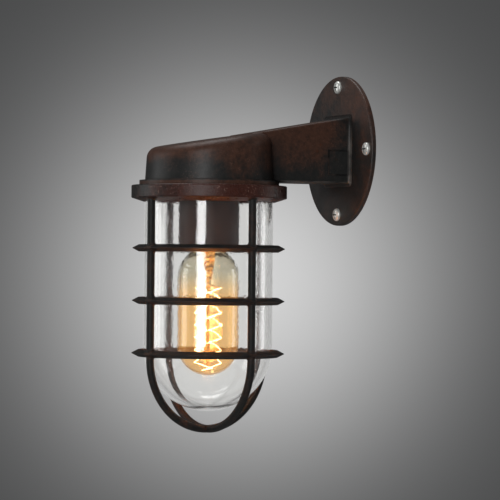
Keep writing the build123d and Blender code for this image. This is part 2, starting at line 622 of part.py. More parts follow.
def holder_cap():
    """Domed top of the lampholder, with a boss for the nipple and a rim that clamps the insert."""
    neck = HOLDER_CAP_NECK_RADIUS
    wall = HOLDER_CAP_WALL
    outer = HOLDER_CAP_RADIUS
    shoulder = STRAP_BOTTOM - HOLDER_CAP_SHOULDER
    boss_bottom = NIPPLE_BOTTOM - HOLDER_FIT
    dome = turned(
        Line((0, STRAP_BOTTOM), (neck, STRAP_BOTTOM)),
        Line((neck, STRAP_BOTTOM), (neck, boss_bottom)),
        EllipticalCenterArc((neck, shoulder), outer - neck, boss_bottom - shoulder, arc_size=90),
        Line((outer, shoulder), (outer, HOLDER_CAP_RIM)),
        Line((outer, HOLDER_CAP_RIM), (0, HOLDER_CAP_RIM)),
        Line((0, HOLDER_CAP_RIM), (0, STRAP_BOTTOM)))
    hollow = turned(
        Line((0, boss_bottom - wall), (neck, boss_bottom - wall)),
        EllipticalCenterArc((neck, shoulder), outer - neck - wall, boss_bottom - shoulder - wall, arc_size=90),
        Line((outer - wall, shoulder), (outer - wall, HOLDER_CAP_RIM - 1)),
        Line((outer - wall, HOLDER_CAP_RIM - 1), (0, HOLDER_CAP_RIM - 1)),
        Line((0, HOLDER_CAP_RIM - 1), (0, boss_bottom - wall)))
    return LAMP_AXIS * (dome - hollow - bar(NIPPLE_RADIUS, boss_bottom - 2 * wall, STRAP_BOTTOM + 1))


def holder_skirt():
    """Plain round skirt of the lampholder, with an inner shoulder that holds the insert up."""
    skirt = tube(HOLDER_SKIRT_RADIUS, HOLDER_SKIRT_BORE, HOLDER_SKIRT_BOTTOM, HOLDER_SKIRT_TOP)
    inner = HOLDER_SKIRT_BORE - HOLDER_SHOULDER_WIDTH
    skirt += tube(HOLDER_SKIRT_BORE, inner, INSERT_BOTTOM - HOLDER_SHOULDER_HEIGHT, INSERT_BOTTOM)
    rims = skirt.edges().filter_by(GeomType.CIRCLE).filter_by(lambda edge: edge.radius > HOLDER_SKIRT_BORE)
    return LAMP_AXIS * fillet(rims, HOLDER_SKIRT_WALL / 3)


def rivet_places():
    """Places of the three rivets in the insert: two for the screw shell and one for the contact strip."""
    flange_middle = SHELL_RADIUS + SHELL_FLANGE_WIDTH / 2
    strip_end = SHELL_BORE - CONTACT_STRIP_END_GAP - CONTACT_STRIP_WIDTH / 2
    return [(0, flange_middle, SHELL_FLANGE_THICKNESS), (0, -flange_middle, SHELL_FLANGE_THICKNESS),
            (0, strip_end, CONTACT_STRIP_THICKNESS)]


def holder_insert():
    """Round ceramic insert that carries the contacts."""
    insert = bar(INSERT_RADIUS, INSERT_BOTTOM, INSERT_TOP)
    for x, y, _ in rivet_places():
        insert -= bar(RIVET_RADIUS, INSERT_BOTTOM - 1, INSERT_TOP + 1, x, y)
    return LAMP_AXIS * insert


def holder_rivets():
    """Rivets through the insert."""
    rivets = []
    for x, y, grip in rivet_places():
        foot = INSERT_BOTTOM - grip
        rivet = bar(RIVET_RADIUS, foot, INSERT_TOP, x, y)
        rivet += bar(RIVET_HEAD_RADIUS, foot - RIVET_HEAD_HEIGHT, foot, x, y)
        rivet += bar(RIVET_HEAD_RADIUS, INSERT_TOP, INSERT_TOP + RIVET_HEAD_HEIGHT, x, y)
        rivets.append(LAMP_AXIS * rivet)
    return rivets


def screw_shell():
    """Brass screw shell that takes the bulb's cap, with a flange riveted under the insert."""
    flange_bottom = INSERT_BOTTOM - SHELL_FLANGE_THICKNESS
    shell = tube(SHELL_RADIUS, SHELL_BORE, INSERT_BOTTOM - SHELL_LENGTH, INSERT_BOTTOM)
    shell += tube(SHELL_RADIUS + SHELL_FLANGE_WIDTH, SHELL_BORE, flange_bottom, INSERT_BOTTOM)
    for x, y, _ in rivet_places():
        shell -= bar(RIVET_RADIUS, flange_bottom - 1, INSERT_BOTTOM, x, y)
    return LAMP_AXIS * shell


def centre_contact():
    """Bent brass strip under the insert that presses on the bulb's end contact."""
    low = BULB_CONTACT_TOP + CONTACT_CLEARANCE
    thick = CONTACT_STRIP_THICKNESS
    half = CONTACT_STRIP_WIDTH / 2
    end = SHELL_BORE - CONTACT_STRIP_END_GAP
    root = end - CONTACT_STRIP_WIDTH
    outline = Polyline(
        (-half, low), (half, low), (root, INSERT_BOTTOM - thick), (end, INSERT_BOTTOM - thick),
        (end, INSERT_BOTTOM), (root, INSERT_BOTTOM), (half, low + thick), (-half, low + thick), close=True)
    strip = extrude(Plane.YZ * make_face(outline.edges()), half, both=True)
    x, y, grip = rivet_places()[-1]
    strip -= bar(RIVET_RADIUS, INSERT_BOTTOM - 2 * grip, INSERT_BOTTOM, x, y)
    return LAMP_AXIS * strip


def holder_terminals():
    """Two brass terminals on the insert, each with a side hole for its wire and a tapped hole for its screw."""
    half = TERMINAL_SIZE / 2
    terminals = []
    for side in (-1, 1):
        x = side * TERMINAL_OFFSET
        terminal = block((x - half, x + half), (-half, half), (INSERT_TOP, TERMINAL_TOP))
        wire_hole = Pos(x - side * half, 0, TERMINAL_WIRE_HEIGHT) * Rot(0, 90, 0) * Cylinder(
            WIRE_RADIUS, 2 * TERMINAL_PUSH_IN)
        terminal -= wire_hole
        terminal -= bar(TERMINAL_SCREW_RADIUS, TERMINAL_WIRE_HEIGHT + WIRE_RADIUS, TERMINAL_TOP, x)
        terminals.append(LAMP_AXIS * terminal)
    return terminals


def holder_terminal_screws():
    """The clamping screws of the two terminals."""
    length = TERMINAL_TOP - TERMINAL_WIRE_HEIGHT - WIRE_RADIUS
    screw = headed_screw(
        TERMINAL_SCREW_RADIUS, TERMINAL_SCREW_HEAD_RADIUS, TERMINAL_SCREW_HEAD_HEIGHT, length)
    return [LAMP_AXIS * Pos(side * TERMINAL_OFFSET, 0, TERMINAL_TOP) * screw for side in (-1, 1)]


def bulb_contact():
    """End contact of the bulb."""
    disc = bar(BULB_CONTACT_RADIUS, BULB_CONTACT_TOP - BULB_CONTACT_HEIGHT, BULB_CONTACT_TOP)
    return LAMP_AXIS * chamfer(disc.edges().group_by(Axis.Z)[-1], BULB_CONTACT_HEIGHT / 2)


def bulb_insulator():
    """Insulating cone between the bulb's end contact and its cap."""
    cone = Cone(CAP_TOP_RADIUS, BULB_CONTACT_RADIUS, BULB_INSULATOR_HEIGHT)
    return LAMP_AXIS * Pos(0, 0, CAP_TOP + BULB_INSULATOR_HEIGHT / 2) * cone


def bulb_cap():
    """Screw cap of the bulb, drawn in at its top."""
    inner = CAP_RADIUS - CAP_WALL
    shoulder = CAP_TOP - CAP_CRIMP
    return LAMP_AXIS * turned_points(
        (CAP_RADIUS, CAP_BOTTOM), (CAP_RADIUS, shoulder), (CAP_TOP_RADIUS, CAP_TOP),
        (CAP_TOP_RADIUS - CAP_WALL, CAP_TOP), (inner, shoulder), (inner, CAP_BOTTOM))


def bulb_envelope():
    """Tubular clear bulb with round ends and a neck inside the cap."""
    neck_top = CAP_BOTTOM + BULB_NECK_LENGTH
    inner = BULB_RADIUS - BULB_WALL
    neck_inner = BULB_NECK_RADIUS - BULB_WALL
    outer_turn = math.degrees(math.acos(BULB_NECK_RADIUS / BULB_RADIUS))
    inner_turn = math.degrees(math.acos(neck_inner / inner))
    outer_neck = BULB_UPPER_CENTRE + math.sqrt(BULB_RADIUS ** 2 - BULB_NECK_RADIUS ** 2)
    inner_neck = BULB_UPPER_CENTRE + math.sqrt(inner ** 2 - neck_inner ** 2)
    return LAMP_AXIS * turned(
        Line((neck_inner, neck_top), (BULB_NECK_RADIUS, neck_top)),
        Line((BULB_NECK_RADIUS, neck_top), (BULB_NECK_RADIUS, outer_neck)),
        CenterArc((0, BULB_UPPER_CENTRE), BULB_RADIUS, outer_turn, -outer_turn),
        Line((BULB_RADIUS, BULB_UPPER_CENTRE), (BULB_RADIUS, BULB_LOWER_CENTRE)),
        CenterArc((0, BULB_LOWER_CENTRE), BULB_RADIUS, 0, -90),
        Line((0, BULB_BOTTOM), (0, BULB_BOTTOM + BULB_WALL)),
        CenterArc((0, BULB_LOWER_CENTRE), inner, -90, 90),
        Line((inner, BULB_LOWER_CENTRE), (inner, BULB_UPPER_CENTRE)),
        CenterArc((0, BULB_UPPER_CENTRE), inner, 0, inner_turn),
        Line((neck_inner, inner_neck), (neck_inner, neck_top)))


def bulb_stem():
    """Glass mount inside the bulb: flare in the neck, pinched foot and the rod that carries the filament."""
    flare = BULB_NECK_RADIUS - BULB_WALL - STEM_FIT
    flare_top = CAP_BOTTOM + BULB_NECK_LENGTH - STEM_FIT
    return LAMP_AXIS * turned_points(
        (0, flare_top), (flare, flare_top), (flare, flare_top - STEM_FLARE_EDGE),
        (STEM_RADIUS, flare_top - STEM_FLARE_HEIGHT), (STEM_RADIUS, STEM_PRESS_TOP),
        (STEM_PRESS_RADIUS, STEM_PRESS_TOP - STEM_RADIUS), (STEM_PRESS_RADIUS, STEM_PRESS_BOTTOM),
        (STEM_ROD_RADIUS, STEM_PRESS_BOTTOM), (STEM_ROD_RADIUS, STEM_ROD_BOTTOM), (0, STEM_ROD_BOTTOM))


def filament_corner(side, first_turn):
    """Corner of one of the filament's spirals, counted by its sides from the top."""
    turn = math.radians(first_turn - 90 * side)
    height = FILAMENT_TOP - FILAMENT_SIDE_DROP * side
    return Vector(FILAMENT_RADIUS * math.cos(turn), FILAMENT_RADIUS * math.sin(turn), height)


def filament_spirals():
    """Corners of the filament's two opposite square spirals, each from the top down."""
    return [[filament_corner(side, first_turn) for side in range(FILAMENT_SIDES + 1)]
            for first_turn in (FILAMENT_START_TURN, FILAMENT_START_TURN + 180)]


def filament():
    """Filament wound down one spiral, across under the stem's rod and up the other spiral between its turns."""
    down, up = filament_spirals()
    path = FilletPolyline(*down, *reversed(up), radius=FILAMENT_BEND)
    section = Plane(origin=path @ 0, z_dir=path % 0) * Circle(FILAMENT_WIRE_RADIUS)
    print_least_gap("filament", path, FILAMENT_TURN_DROP / 2, FILAMENT_WIRE_RADIUS)
    return LAMP_AXIS * sweep(section, path=path)


def print_least_gap(name, path, pitch, radius):
    """Print the least gap between stretches of a winding that lie over half a turn apart along it."""
    count = 1200
    places = [path @ (index / count) for index in range(count + 1)]
    apart = 2.5 * FILAMENT_RADIUS
    step = path.length / count
    skip = int(apart / step)
    least = min((places[one] - places[two]).length
                for one in range(0, count, 4) for two in range(one + skip, count + 1, 4))
    print(f"{name}: length {path.length:.1f}, pitch {pitch:.2f}, least gap to itself {least - 2 * radius:.2f}")


def filament_supports():
    """Thin arms from the stem's rod to the inner corners of the filament."""
    end = FILAMENT_RADIUS - FILAMENT_BEND * (math.sqrt(2) - 1) - FILAMENT_WIRE_RADIUS
    half = SUPPORT_THICKNESS / 2
    arm = block((STEM_ROD_RADIUS / 2, end), (-half, half), (-half, half))
    arm -= bar(STEM_ROD_RADIUS, -1, 1)
    supports = []
    for spiral in filament_spirals():
        for corner in spiral[1:-1]:
            turn = math.degrees(math.atan2(corner.Y, corner.X))
            supports.append(LAMP_AXIS * Pos(0, 0, corner.Z) * Rot(0, 0, turn) * arm)
    return supports


def bulb_leads():
    """Two wires from the pinched foot of the stem to the ends of the filament."""
    leads = []
    for side, spiral in zip((1, -1), filament_spirals()):
        end = spiral[0]
        start = Vector(side * LEAD_OFFSET, 0, STEM_PRESS_BOTTOM)
        knee = Vector(side * LEAD_OFFSET, 0, end.Z + LEAD_KNEE_RISE)
        way = (end - knee).normalized()
        leads.append(LAMP_AXIS * wire([start, knee, end - way * LEAD_END_GAP], LEAD_RADIUS))
    return leads


def pole_x(pole):
    """Sideways place of one pole of the terminal block, counted from the live side."""
    return (pole - (BLOCK_POLES - 1) / 2) * POLE_PITCH


def pole_screw_places():
    """Places of the terminal block's clamping screws, two to a pole."""
    middle = (BLOCK_BACK + BLOCK_FRONT) / 2
    return [(pole_x(pole), middle + side * BLOCK_DEPTH / 4) for pole in range(BLOCK_POLES) for side in (-1, 1)]


def along_y(radius, y_range, x, z):
    """A round bar lying along Y."""
    length = y_range[1] - y_range[0]
    return Pos(x, (y_range[0] + y_range[1]) / 2, z) * Rot(90, 0, 0) * Cylinder(radius, length)


def terminal_block():
    """Insulating body of the terminal block, with a round tower over each clamping screw."""
    half = BLOCK_LENGTH / 2
    body = block((-half, half), (BLOCK_FRONT, BLOCK_BACK), (ARM_FLOOR, ARM_FLOOR + BLOCK_STEP_HEIGHT))
    tower = min(POLE_PITCH, BLOCK_DEPTH / 2) / 2 - BLOCK_TOWER_GAP
    for x, y in pole_screw_places():
        body += bar(tower, ARM_FLOOR, BLOCK_TOP, x, y)
    for x, y in pole_screw_places():
        body -= bar(BLOCK_SCREW_RADIUS, POLE_HEIGHT, BLOCK_TOP + 1, x, y)
    for pole in range(BLOCK_POLES):
        body -= along_y(BLOCK_HOLE_RADIUS, (BLOCK_FRONT - 1, BLOCK_BACK + 1), pole_x(pole), POLE_HEIGHT)
    return body - bar(BLOCK_FIXING_RADIUS, ARM_FLOOR - 1, BLOCK_TOP, *BLOCK_FIXING_PLACE)


def terminal_sleeves():
    """Brass sleeves inside the terminal block, tapped from above."""
    sleeves = []
    for pole in range(BLOCK_POLES):
        ends = (BLOCK_FRONT + BLOCK_SLEEVE_INSET, BLOCK_BACK - BLOCK_SLEEVE_INSET)
        sleeve = along_y(BLOCK_HOLE_RADIUS, ends, pole_x(pole), POLE_HEIGHT)
        sleeve -= along_y(WIRE_RADIUS, (BLOCK_FRONT - 1, BLOCK_BACK + 1), pole_x(pole), POLE_HEIGHT)
        for x, y in pole_screw_places():
            sleeve -= bar(BLOCK_SCREW_RADIUS, POLE_HEIGHT, BLOCK_TOP, x, y)
        sleeves.append(sleeve)
    return sleeves


def terminal_block_screws():
    """Clamping screws of the terminal block, sunk in their towers."""
    low = POLE_HEIGHT + WIRE_RADIUS
    high = BLOCK_TOP - BLOCK_SCREW_SINK
    return [bar(BLOCK_SCREW_RADIUS, low, high, x, y) for x, y in pole_screw_places()]


def terminal_block_fixing():
    """The screw that holds the terminal block to the floor of the arm."""
    length = BLOCK_STEP_HEIGHT + BLOCK_FIXING_GRIP
    screw = headed_screw(BLOCK_FIXING_RADIUS, BLOCK_FIXING_HEAD_RADIUS, BLOCK_FIXING_HEAD_HEIGHT, length)
    return Pos(*BLOCK_FIXING_PLACE, ARM_FLOOR + BLOCK_STEP_HEIGHT) * screw


def earth_tag():
    """Ring tag under the earth screw, with a crimped barrel at the height of the terminal block's poles."""
    x, y = EARTH_SCREW_PLACE
    top = ARM_FLOOR + EARTH_TAG_THICKNESS
    barrel_radius = WIRE_RADIUS + EARTH_TAG_THICKNESS
    barrel = along_y(barrel_radius, EARTH_BARREL, x, POLE_HEIGHT)
    neck = block((x - barrel_radius, x + barrel_radius), EARTH_BARREL, (ARM_FLOOR, POLE_HEIGHT))
    tag = bar(EARTH_TAG_RADIUS, ARM_FLOOR, top, x, y)
    tag += block((x - barrel_radius, x + barrel_radius), (y, EARTH_BARREL[0]), (ARM_FLOOR, top))
    tag += barrel + neck
    tag -= along_y(WIRE_RADIUS, EARTH_BARREL, x, POLE_HEIGHT)
    return tag - bar(EARTH_SCREW_RADIUS, ARM_FLOOR - 1, top + 1, x, y)


def earth_screw():
    """The screw that bonds the earth tag to the casting."""
    length = EARTH_TAG_THICKNESS + EARTH_SCREW_GRIP
    screw = headed_screw(EARTH_SCREW_RADIUS, EARTH_SCREW_HEAD_RADIUS, EARTH_SCREW_HEAD_HEIGHT, length)
    screw -= Pos(0, 0, EARTH_SCREW_HEAD_HEIGHT) * cross_slot(EARTH_SCREW_HEAD_RADIUS)
    return Pos(*EARTH_SCREW_PLACE, ARM_FLOOR + EARTH_TAG_THICKNESS) * screw


def earth_wire():
    """Short wire from the terminal block to the earth tag."""
    ends = (EARTH_BARREL[0], BLOCK_FRONT + BLOCK_SLEEVE_INSET + WIRE_PUSH_IN)
    return along_y(WIRE_RADIUS, ends, EARTH_SCREW_PLACE[0], POLE_HEIGHT)


def lamp_wire(pole, side):
    """Wire from a pole of the terminal block, along the arm, down the nipple and to a lampholder terminal."""
    x = pole_x(pole)
    inside = side * (NIPPLE_BORE_RADIUS - WIRE_RADIUS) * WIRE_SPREAD
    start = BLOCK_FRONT + BLOCK_SLEEVE_INSET + WIRE_PUSH_IN
    crest = hood_top(-REACH, CASTING_WALL) - WIRE_ROOF_GAP
    points = [
        (x, start, POLE_HEIGHT),
        (x, BLOCK_FRONT - WIRE_FIRST_RUN, POLE_HEIGHT),
        ((x + inside) / 2, (BLOCK_FRONT - REACH) / 2, (POLE_HEIGHT + crest) / 2),
        (inside, -REACH + WIRE_LAST_RUN, crest),
        (inside, -REACH, crest),
        (inside, -REACH, TERMINAL_WIRE_HEIGHT),
        (side * (TERMINAL_OFFSET - TERMINAL_SIZE / 2 + TERMINAL_PUSH_IN), -REACH, TERMINAL_WIRE_HEIGHT),
    ]
    return wire(points, WIRE_RADIUS)


def build_all():
    """Every sub-part by its name, as a solid or a list of like solids."""
    under, over = guard_hoops()
    parts = {
        "wall_plate": wall_plate(),
        "wall_screws": wall_screws(),
        "hood_and_arm": hood_and_arm(),
        "arm_screws": arm_screws(),
        "guard_collar": guard_collar(),
        "guard_hoop_under": under,
        "guard_hoop_over": over,
        "glass_jar": glass_jar(),
        "glass_gasket": glass_gasket(),
        "glass_seat_ring": glass_seat_ring(),
        "holder_strap": holder_strap(),
        "strap_screws": strap_screws(),
        "holder_nipple": holder_nipple(),
        "holder_locknut": holder_locknut(),
        "holder_cap": holder_cap(),
        "holder_skirt": holder_skirt(),
        "holder_insert": holder_insert(),
        "holder_rivets": holder_rivets(),
        "screw_shell": screw_shell(),
        "centre_contact": centre_contact(),
        "holder_terminals": holder_terminals(),
        "holder_terminal_screws": holder_terminal_screws(),
        "bulb_contact": bulb_contact(),
        "bulb_insulator": bulb_insulator(),
        "bulb_cap": bulb_cap(),
        "bulb_envelope": bulb_envelope(),
        "bulb_stem": bulb_stem(),
        "bulb_leads": bulb_leads(),
        "filament": filament(),
        "filament_supports": filament_supports(),
        "terminal_block": terminal_block(),
        "terminal_sleeves": terminal_sleeves(),
        "terminal_block_screws": terminal_block_screws(),
        "terminal_block_fixing": terminal_block_fixing(),
        "earth_tag": earth_tag(),
        "earth_screw": earth_screw(),
        "earth_wire": earth_wire(),
        "live_wire": lamp_wire(pole=0, side=-1),
        "neutral_wire": lamp_wire(pole=1, side=1),
    }
    for name, height in zip(("upper", "middle", "lower"), RING_HEIGHTS):
        parts["guard_ring_" + name] = guard_ring(height)
    return parts


def main():
    """Write one STEP file for each sub-part."""
    os.makedirs("parts", exist_ok=True)
    for name, shape in build_all().items():
        if isinstance(shape, list):
            shape = Compound(children=shape)
        export_step(shape, f"parts/{name}.step")


main()
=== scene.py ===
"""Looks of a caged wall light with a glass jar and a filament bulb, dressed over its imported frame.

The frame is the wall plate's: the wall is the plane Y = 0, the light reaches towards -Y and +Z is up.
Sizes of pieces are millimetres in that frame, and angles are degrees. Meshes and Object coordinates are in
metres, so lengths in the finishes are metres too.
"""
import math

import bpy
import numpy as np
from mathutils import Matrix, Vector


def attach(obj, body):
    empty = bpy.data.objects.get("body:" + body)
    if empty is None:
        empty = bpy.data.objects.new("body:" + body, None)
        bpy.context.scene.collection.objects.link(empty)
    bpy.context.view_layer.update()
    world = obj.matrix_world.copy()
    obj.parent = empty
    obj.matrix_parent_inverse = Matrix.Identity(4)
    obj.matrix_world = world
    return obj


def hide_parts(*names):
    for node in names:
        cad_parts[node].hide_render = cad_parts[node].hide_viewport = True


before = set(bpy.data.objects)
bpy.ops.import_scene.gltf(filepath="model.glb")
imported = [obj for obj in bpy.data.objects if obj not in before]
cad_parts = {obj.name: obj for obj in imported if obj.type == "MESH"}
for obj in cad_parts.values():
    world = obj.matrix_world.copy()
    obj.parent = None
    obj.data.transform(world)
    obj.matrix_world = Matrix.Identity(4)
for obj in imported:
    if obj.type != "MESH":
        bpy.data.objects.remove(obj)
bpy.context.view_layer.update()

MILLIMETRE = 0.001

# Camera, as fitted to the photograph
CAMERA_AZIMUTH = 65.676
CAMERA_PITCH = 0.328
CAMERA_ROLL = 0.543
CAMERA_DISTANCE = 1887.87
CAMERA_HEIGHT = -85.85
CAMERA_ASIDE = 30.33
FOCAL_PIXELS = 2572.0
PICTURE_PIXELS = 500.0
SENSOR_WIDTH = 36.0
CLIP_START = 0.05
CLIP_END = 50

# Backdrop: its bright patch, in pixels from the picture's middle, and its greys
PATCH_RIGHT = -10.0
PATCH_UP = -29.0
PATCH_SPREAD = 180.0
BACKDROP_DARK = (0.062, 0.063, 0.064, 1)
BACKDROP_BRIGHT = (0.66, 0.66, 0.66, 1)
BACKDROP_ELSEWHERE = (0.42, 0.42, 0.42, 1)
BEHIND_GLASS = (0.70, 0.70, 0.69, 1)
BESIDE_GLASS = (0.52, 0.52, 0.515, 1)
MIRRORED_ELSEWHERE = (0.08, 0.08, 0.08, 1)
THROUGH_ELSEWHERE = (0.34, 0.34, 0.34, 1)
SOFT_FILL = (0.26, 0.26, 0.265, 1)

# Floor and lamps
FLOOR_HEIGHT = -1700.0
FLOOR_RADIUS = 3200.0
FLOOR_RINGS = 14
FLOOR_COLUMNS = 96
FLOOR_COLOUR = (0.62, 0.62, 0.61, 1)
FLOOR_FADE = (0.4, 0.97)
LAMPS_AIM_HEIGHT = -85.0

# Casting, plate and wall screws
REACH = 108.5
HOOD_TOP = 5.9
TOP_RISE = 0.17
ARM_SIDE = 21.0
PAD_FRONT = -21.5
PAD_BACK = -3.5
PAD_BOTTOM = -18.6
PAD_TOP = -0.6
PLATE_THICKNESS = 3.5
WALL_SCREW_CIRCLE = 47.75
WALL_SCREW_HEAD_RADIUS = 4.75
WALL_SCREW_EDGE_TOP = PLATE_THICKNESS + 0.9
WALL_SCREW_DOME = 2.0

# Thread of the spigot: its section is given upwards in millimetres and outwards in shares of its height
SPIGOT_RADIUS = 51.3
SPIGOT_THREAD_TOP = -29.0
SPIGOT_THREAD_BOTTOM = -33.8
SPIGOT_THREAD_PITCH = 2.5
SPIGOT_THREAD_HEIGHT = 0.22
SPIGOT_THREAD_END = 0.05
SPIGOT_THREAD_SUNK = 0.02
SPIGOT_THREAD_UP = (-0.75, -0.2, 0.2, 0.75, 0.0)
SPIGOT_THREAD_OUT = (0.0, 1.0, 1.0, 0.0, -0.6)
SPIGOT_THREAD_ROWS = 128

# Jar: each wave has its size, its count round the jar, its height to the radian and its start
JAR_RADIUS = 47.2
JAR_WALL = 3.0
JAR_TOP = -31.0
JAR_BOTTOM = -193.3
JAR_FLANGE_RADIUS = 49.2
JAR_FLANGE_BOTTOM = -34.0
JAR_LIP_ROUND = 0.6
JAR_WAVES = ((0.020, 5, 11.0, 0.0), (0.012, -9, 5.3, 1.7), (0.006, 14, 3.1, 0.6))
JAR_STILL_LENGTH = 2
JAR_WAVE_GROWTH = 6
JAR_WAVE_RADIUS = 20
JAR_POLE = -89.5
JAR_END_POINTS = 40
JAR_SIDE_POINTS = 60
JAR_LIP_POINTS = 4
JAR_COLUMNS = 144

# Guard and its braze: each fillet has the reach of its foot from the rod's middle and its rise
RING_HEIGHTS = (-74.2, -112.65, -151.1)
RING_THICKNESS = 5.2
RING_SHOULDER = 51.3
RING_TIP = 55.9
RING_TIP_FLAT = 0.5
RING_INNER = 48.6
COLLAR_BOTTOM = -37.4
COLLAR_RADIUS = 57.1
COLLAR_RIM_RADIUS = 48.3
COLLAR_UNDERSIDE_DROP = 2.8
ROD_COUNT = 4
ROD_RADIUS = 2.8
ROD_CIRCLE = 52.0
ROD_TURN = 13.5
BRAZE_ABOVE_RING = (4.5, 2.2)
BRAZE_BELOW_RING = (4.1, 1.5)
BRAZE_UNDER_COLLAR = (3.7, 0.9)
BRAZE_INNER_MARGIN = 0.15
BRAZE_OUTER_MARGIN = 0.35
BRAZE_LEAST_FOOT = 0.05
BRAZE_SUNK = 0.02
BRAZE_ROOT_IN_ROD = 0.5
BRAZE_ROOT_TOP = 0.8
BRAZE_ROOT_DEPTH = 0.3
BRAZE_PASSES = 4
BRAZE_COLUMNS = 28
BRAZE_ROWS = 7

# Bulb
BULB_RADIUS = 22.5
BULB_WALL = 1.0
BULB_BOTTOM = -167.4
BULB_NECK_RADIUS = 12.3
BULB_NECK_TOP = -67.5
BULB_SHOULDER_CENTRE = -95.408
BULB_POLE = -89
BULB_END_POINTS = 28
BULB_SIDE_POINTS = 24
BULB_SHOULDER_POINTS = 20
BULB_NECK_POINTS = 4
BULB_RIM_POINTS = 7
BULB_COLUMNS = 112
CAP_RADIUS = 13.15
CAP_TOP = -54.0
CAP_BOTTOM = -76.5
CAP_TOP_RADIUS = 11.0
CAP_WALL = 0.5
CAP_CRIMP = 2.4
CAP_PLAIN = 3.0
CAP_THREAD_PITCH = 3.629
CAP_THREAD_DEPTH = 0.75
CAP_COLUMNS = 96
CAP_ROWS = 90
FILAMENT_TOP = -103.0
FILAMENT_TURN_DROP = 18.4
FILAMENT_SIDES = 13
FILAMENT_RADIUS = 10.4
FILAMENT_WIRE_RADIUS = 0.3
FILAMENT_START_TURN = 45.0
FILAMENT_SQUARENESS = 9.0
FILAMENT_SIDE_POINTS = 24
FILAMENT_CROSSING_POINTS = 20
FILAMENT_WIRE_COLUMNS = 10


# Meshes from grids of points

def grid_faces(rows, columns, rows_join):
    """Four-cornered faces of a grid whose columns join up round the piece; its rows join up too if asked.

    Its corners are (row, column), (row, next column), (next row, next column) and (next row, column).
    """
    row = np.arange(rows if rows_join else rows - 1)[:, None]
    column = np.arange(columns)[None, :]
    next_row = (row + 1) % rows
    next_column = (column + 1) % columns
    corners = [row * columns + column, row * columns + next_column,
               next_row * columns + next_column, next_row * columns + column]
    return np.stack(corners, axis=-1).reshape(-1, 4)


def end_fans(rows, columns):
    """Triangles from the first and last row of a grid to two middle points that follow its points."""
    column = np.arange(columns)
    next_column = (column + 1) % columns
    first_middle = np.full(columns, rows * columns)
    last_row = (rows - 1) * columns
    first = np.stack([next_column, column, first_middle], axis=-1)
    last = np.stack([last_row + column, last_row + next_column, first_middle + 1], axis=-1)
    return np.concatenate([first, last])


def enclosed_volume(points, faces):
    """Sum over the faces of a sixth of the triple product of their corners: positive if they point out."""
    corners = points[faces]
    total = 0.0
    for second in range(1, faces.shape[1] - 1):
        cross = np.cross(corners[:, second], corners[:, second + 1])
        total += np.einsum("ij,ij->i", corners[:, 0], cross).sum() / 6
    return total


def closed_surface(grid, rows_join):
    """Points and faces of a closed surface over a grid of points, with its faces turned outwards."""
    rows, columns = grid.shape[:2]
    points = grid.reshape(-1, 3)
    parts = [grid_faces(rows, columns, rows_join)]
    if not rows_join:
        middles = np.stack([grid[0].mean(axis=0), grid[-1].mean(axis=0)])
        points = np.concatenate([points, middles])
        parts.append(end_fans(rows, columns))
    volume = sum(enclosed_volume(points, faces) for faces in parts)
    if volume < 0:
        parts = [faces[:, ::-1] for faces in parts]
    return points, parts


def make_piece(name, surfaces, finish, body):
    """One smooth mesh object made of closed surfaces, riding on a body of the frame."""
    points = []
    faces = []
    count = 0
    for surface_points, parts in surfaces:
        points.append(surface_points)
        for part in parts:
            faces.extend((part + count).tolist())
        count += len(surface_points)
    mesh = bpy.data.meshes.new(name)
    mesh.from_pydata((np.concatenate(points) * MILLIMETRE).tolist(), [], faces)
    mesh.polygons.foreach_set("use_smooth", np.ones(len(mesh.polygons), dtype=bool))
    mesh.materials.append(finish)
    piece = bpy.data.objects.new(name, mesh)
    bpy.context.scene.collection.objects.link(piece)
    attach(piece, body)
    return piece


def on_lamp_axis(radius, turn, height):
    """Points at a radius and turn about the lamp axis: x = r cos, y = r sin - reach, z = height."""
    radius, turn, height = np.broadcast_arrays(radius, turn, height)
    return np.stack([radius * np.cos(turn), radius * np.sin(turn) - REACH, height], axis=-1)


def around(columns):
    """Even turns once round a circle, without the repeated end."""
    return np.linspace(0, 2 * math.pi, columns, endpoint=False)


def arc(centre, radius, start, end, count):
    """Points of an arc in radius and height: centre plus radius times cosine and sine of even angles."""
    angle = np.radians(np.linspace(start, end, count))
    return np.stack([centre[0] + radius * np.cos(angle), centre[1] + radius * np.sin(angle)], axis=-1)


def run(start, end, count):
    """Even points of a straight run between two points, both ends left out."""
    share = np.linspace(0, 1, count + 2)[1:-1, None]
    return np.array(start) + share * (np.array(end) - np.array(start))


def tube_along(path, radius, sides):
    """A round tube along an open path of points that never runs straight up.

    The section at each point is radius times cosine along the level direction square to the path, plus
    radius times sine along the direction square to both.
    """
    ahead = np.gradient(path, axis=0)
    ahead /= np.linalg.norm(ahead, axis=1, keepdims=True)
    level = np.cross(ahead, [0, 0, 1])
    level /= np.linalg.norm(level, axis=1, keepdims=True)
    third = np.cross(ahead, level)
    turn = around(sides)[None, :, None]
    section = np.cos(turn) * level[:, None, :] + np.sin(turn) * third[:, None, :]
    return path[:, None, :] + radius * section


# Shader maths

class Channel:
    """A socket of a node tree. Arithmetic on it adds Math nodes."""

    def __init__(self, finish, socket):
        self.finish = finish
        self.socket = socket

    def __add__(self, other):
        return self.finish.math("ADD", self, other)

    def __sub__(self, other):
        return self.finish.math("SUBTRACT", self, other)

    def __rsub__(self, other):
        return self.finish.math("SUBTRACT", other, self)

    def __mul__(self, other):
        return self.finish.math("MULTIPLY", self, other)

    def __truediv__(self, other):
        return self.finish.math("DIVIDE", self, other)

    def __rtruediv__(self, other):
        return self.finish.math("DIVIDE", other, self)

    __radd__ = __add__
    __rmul__ = __mul__


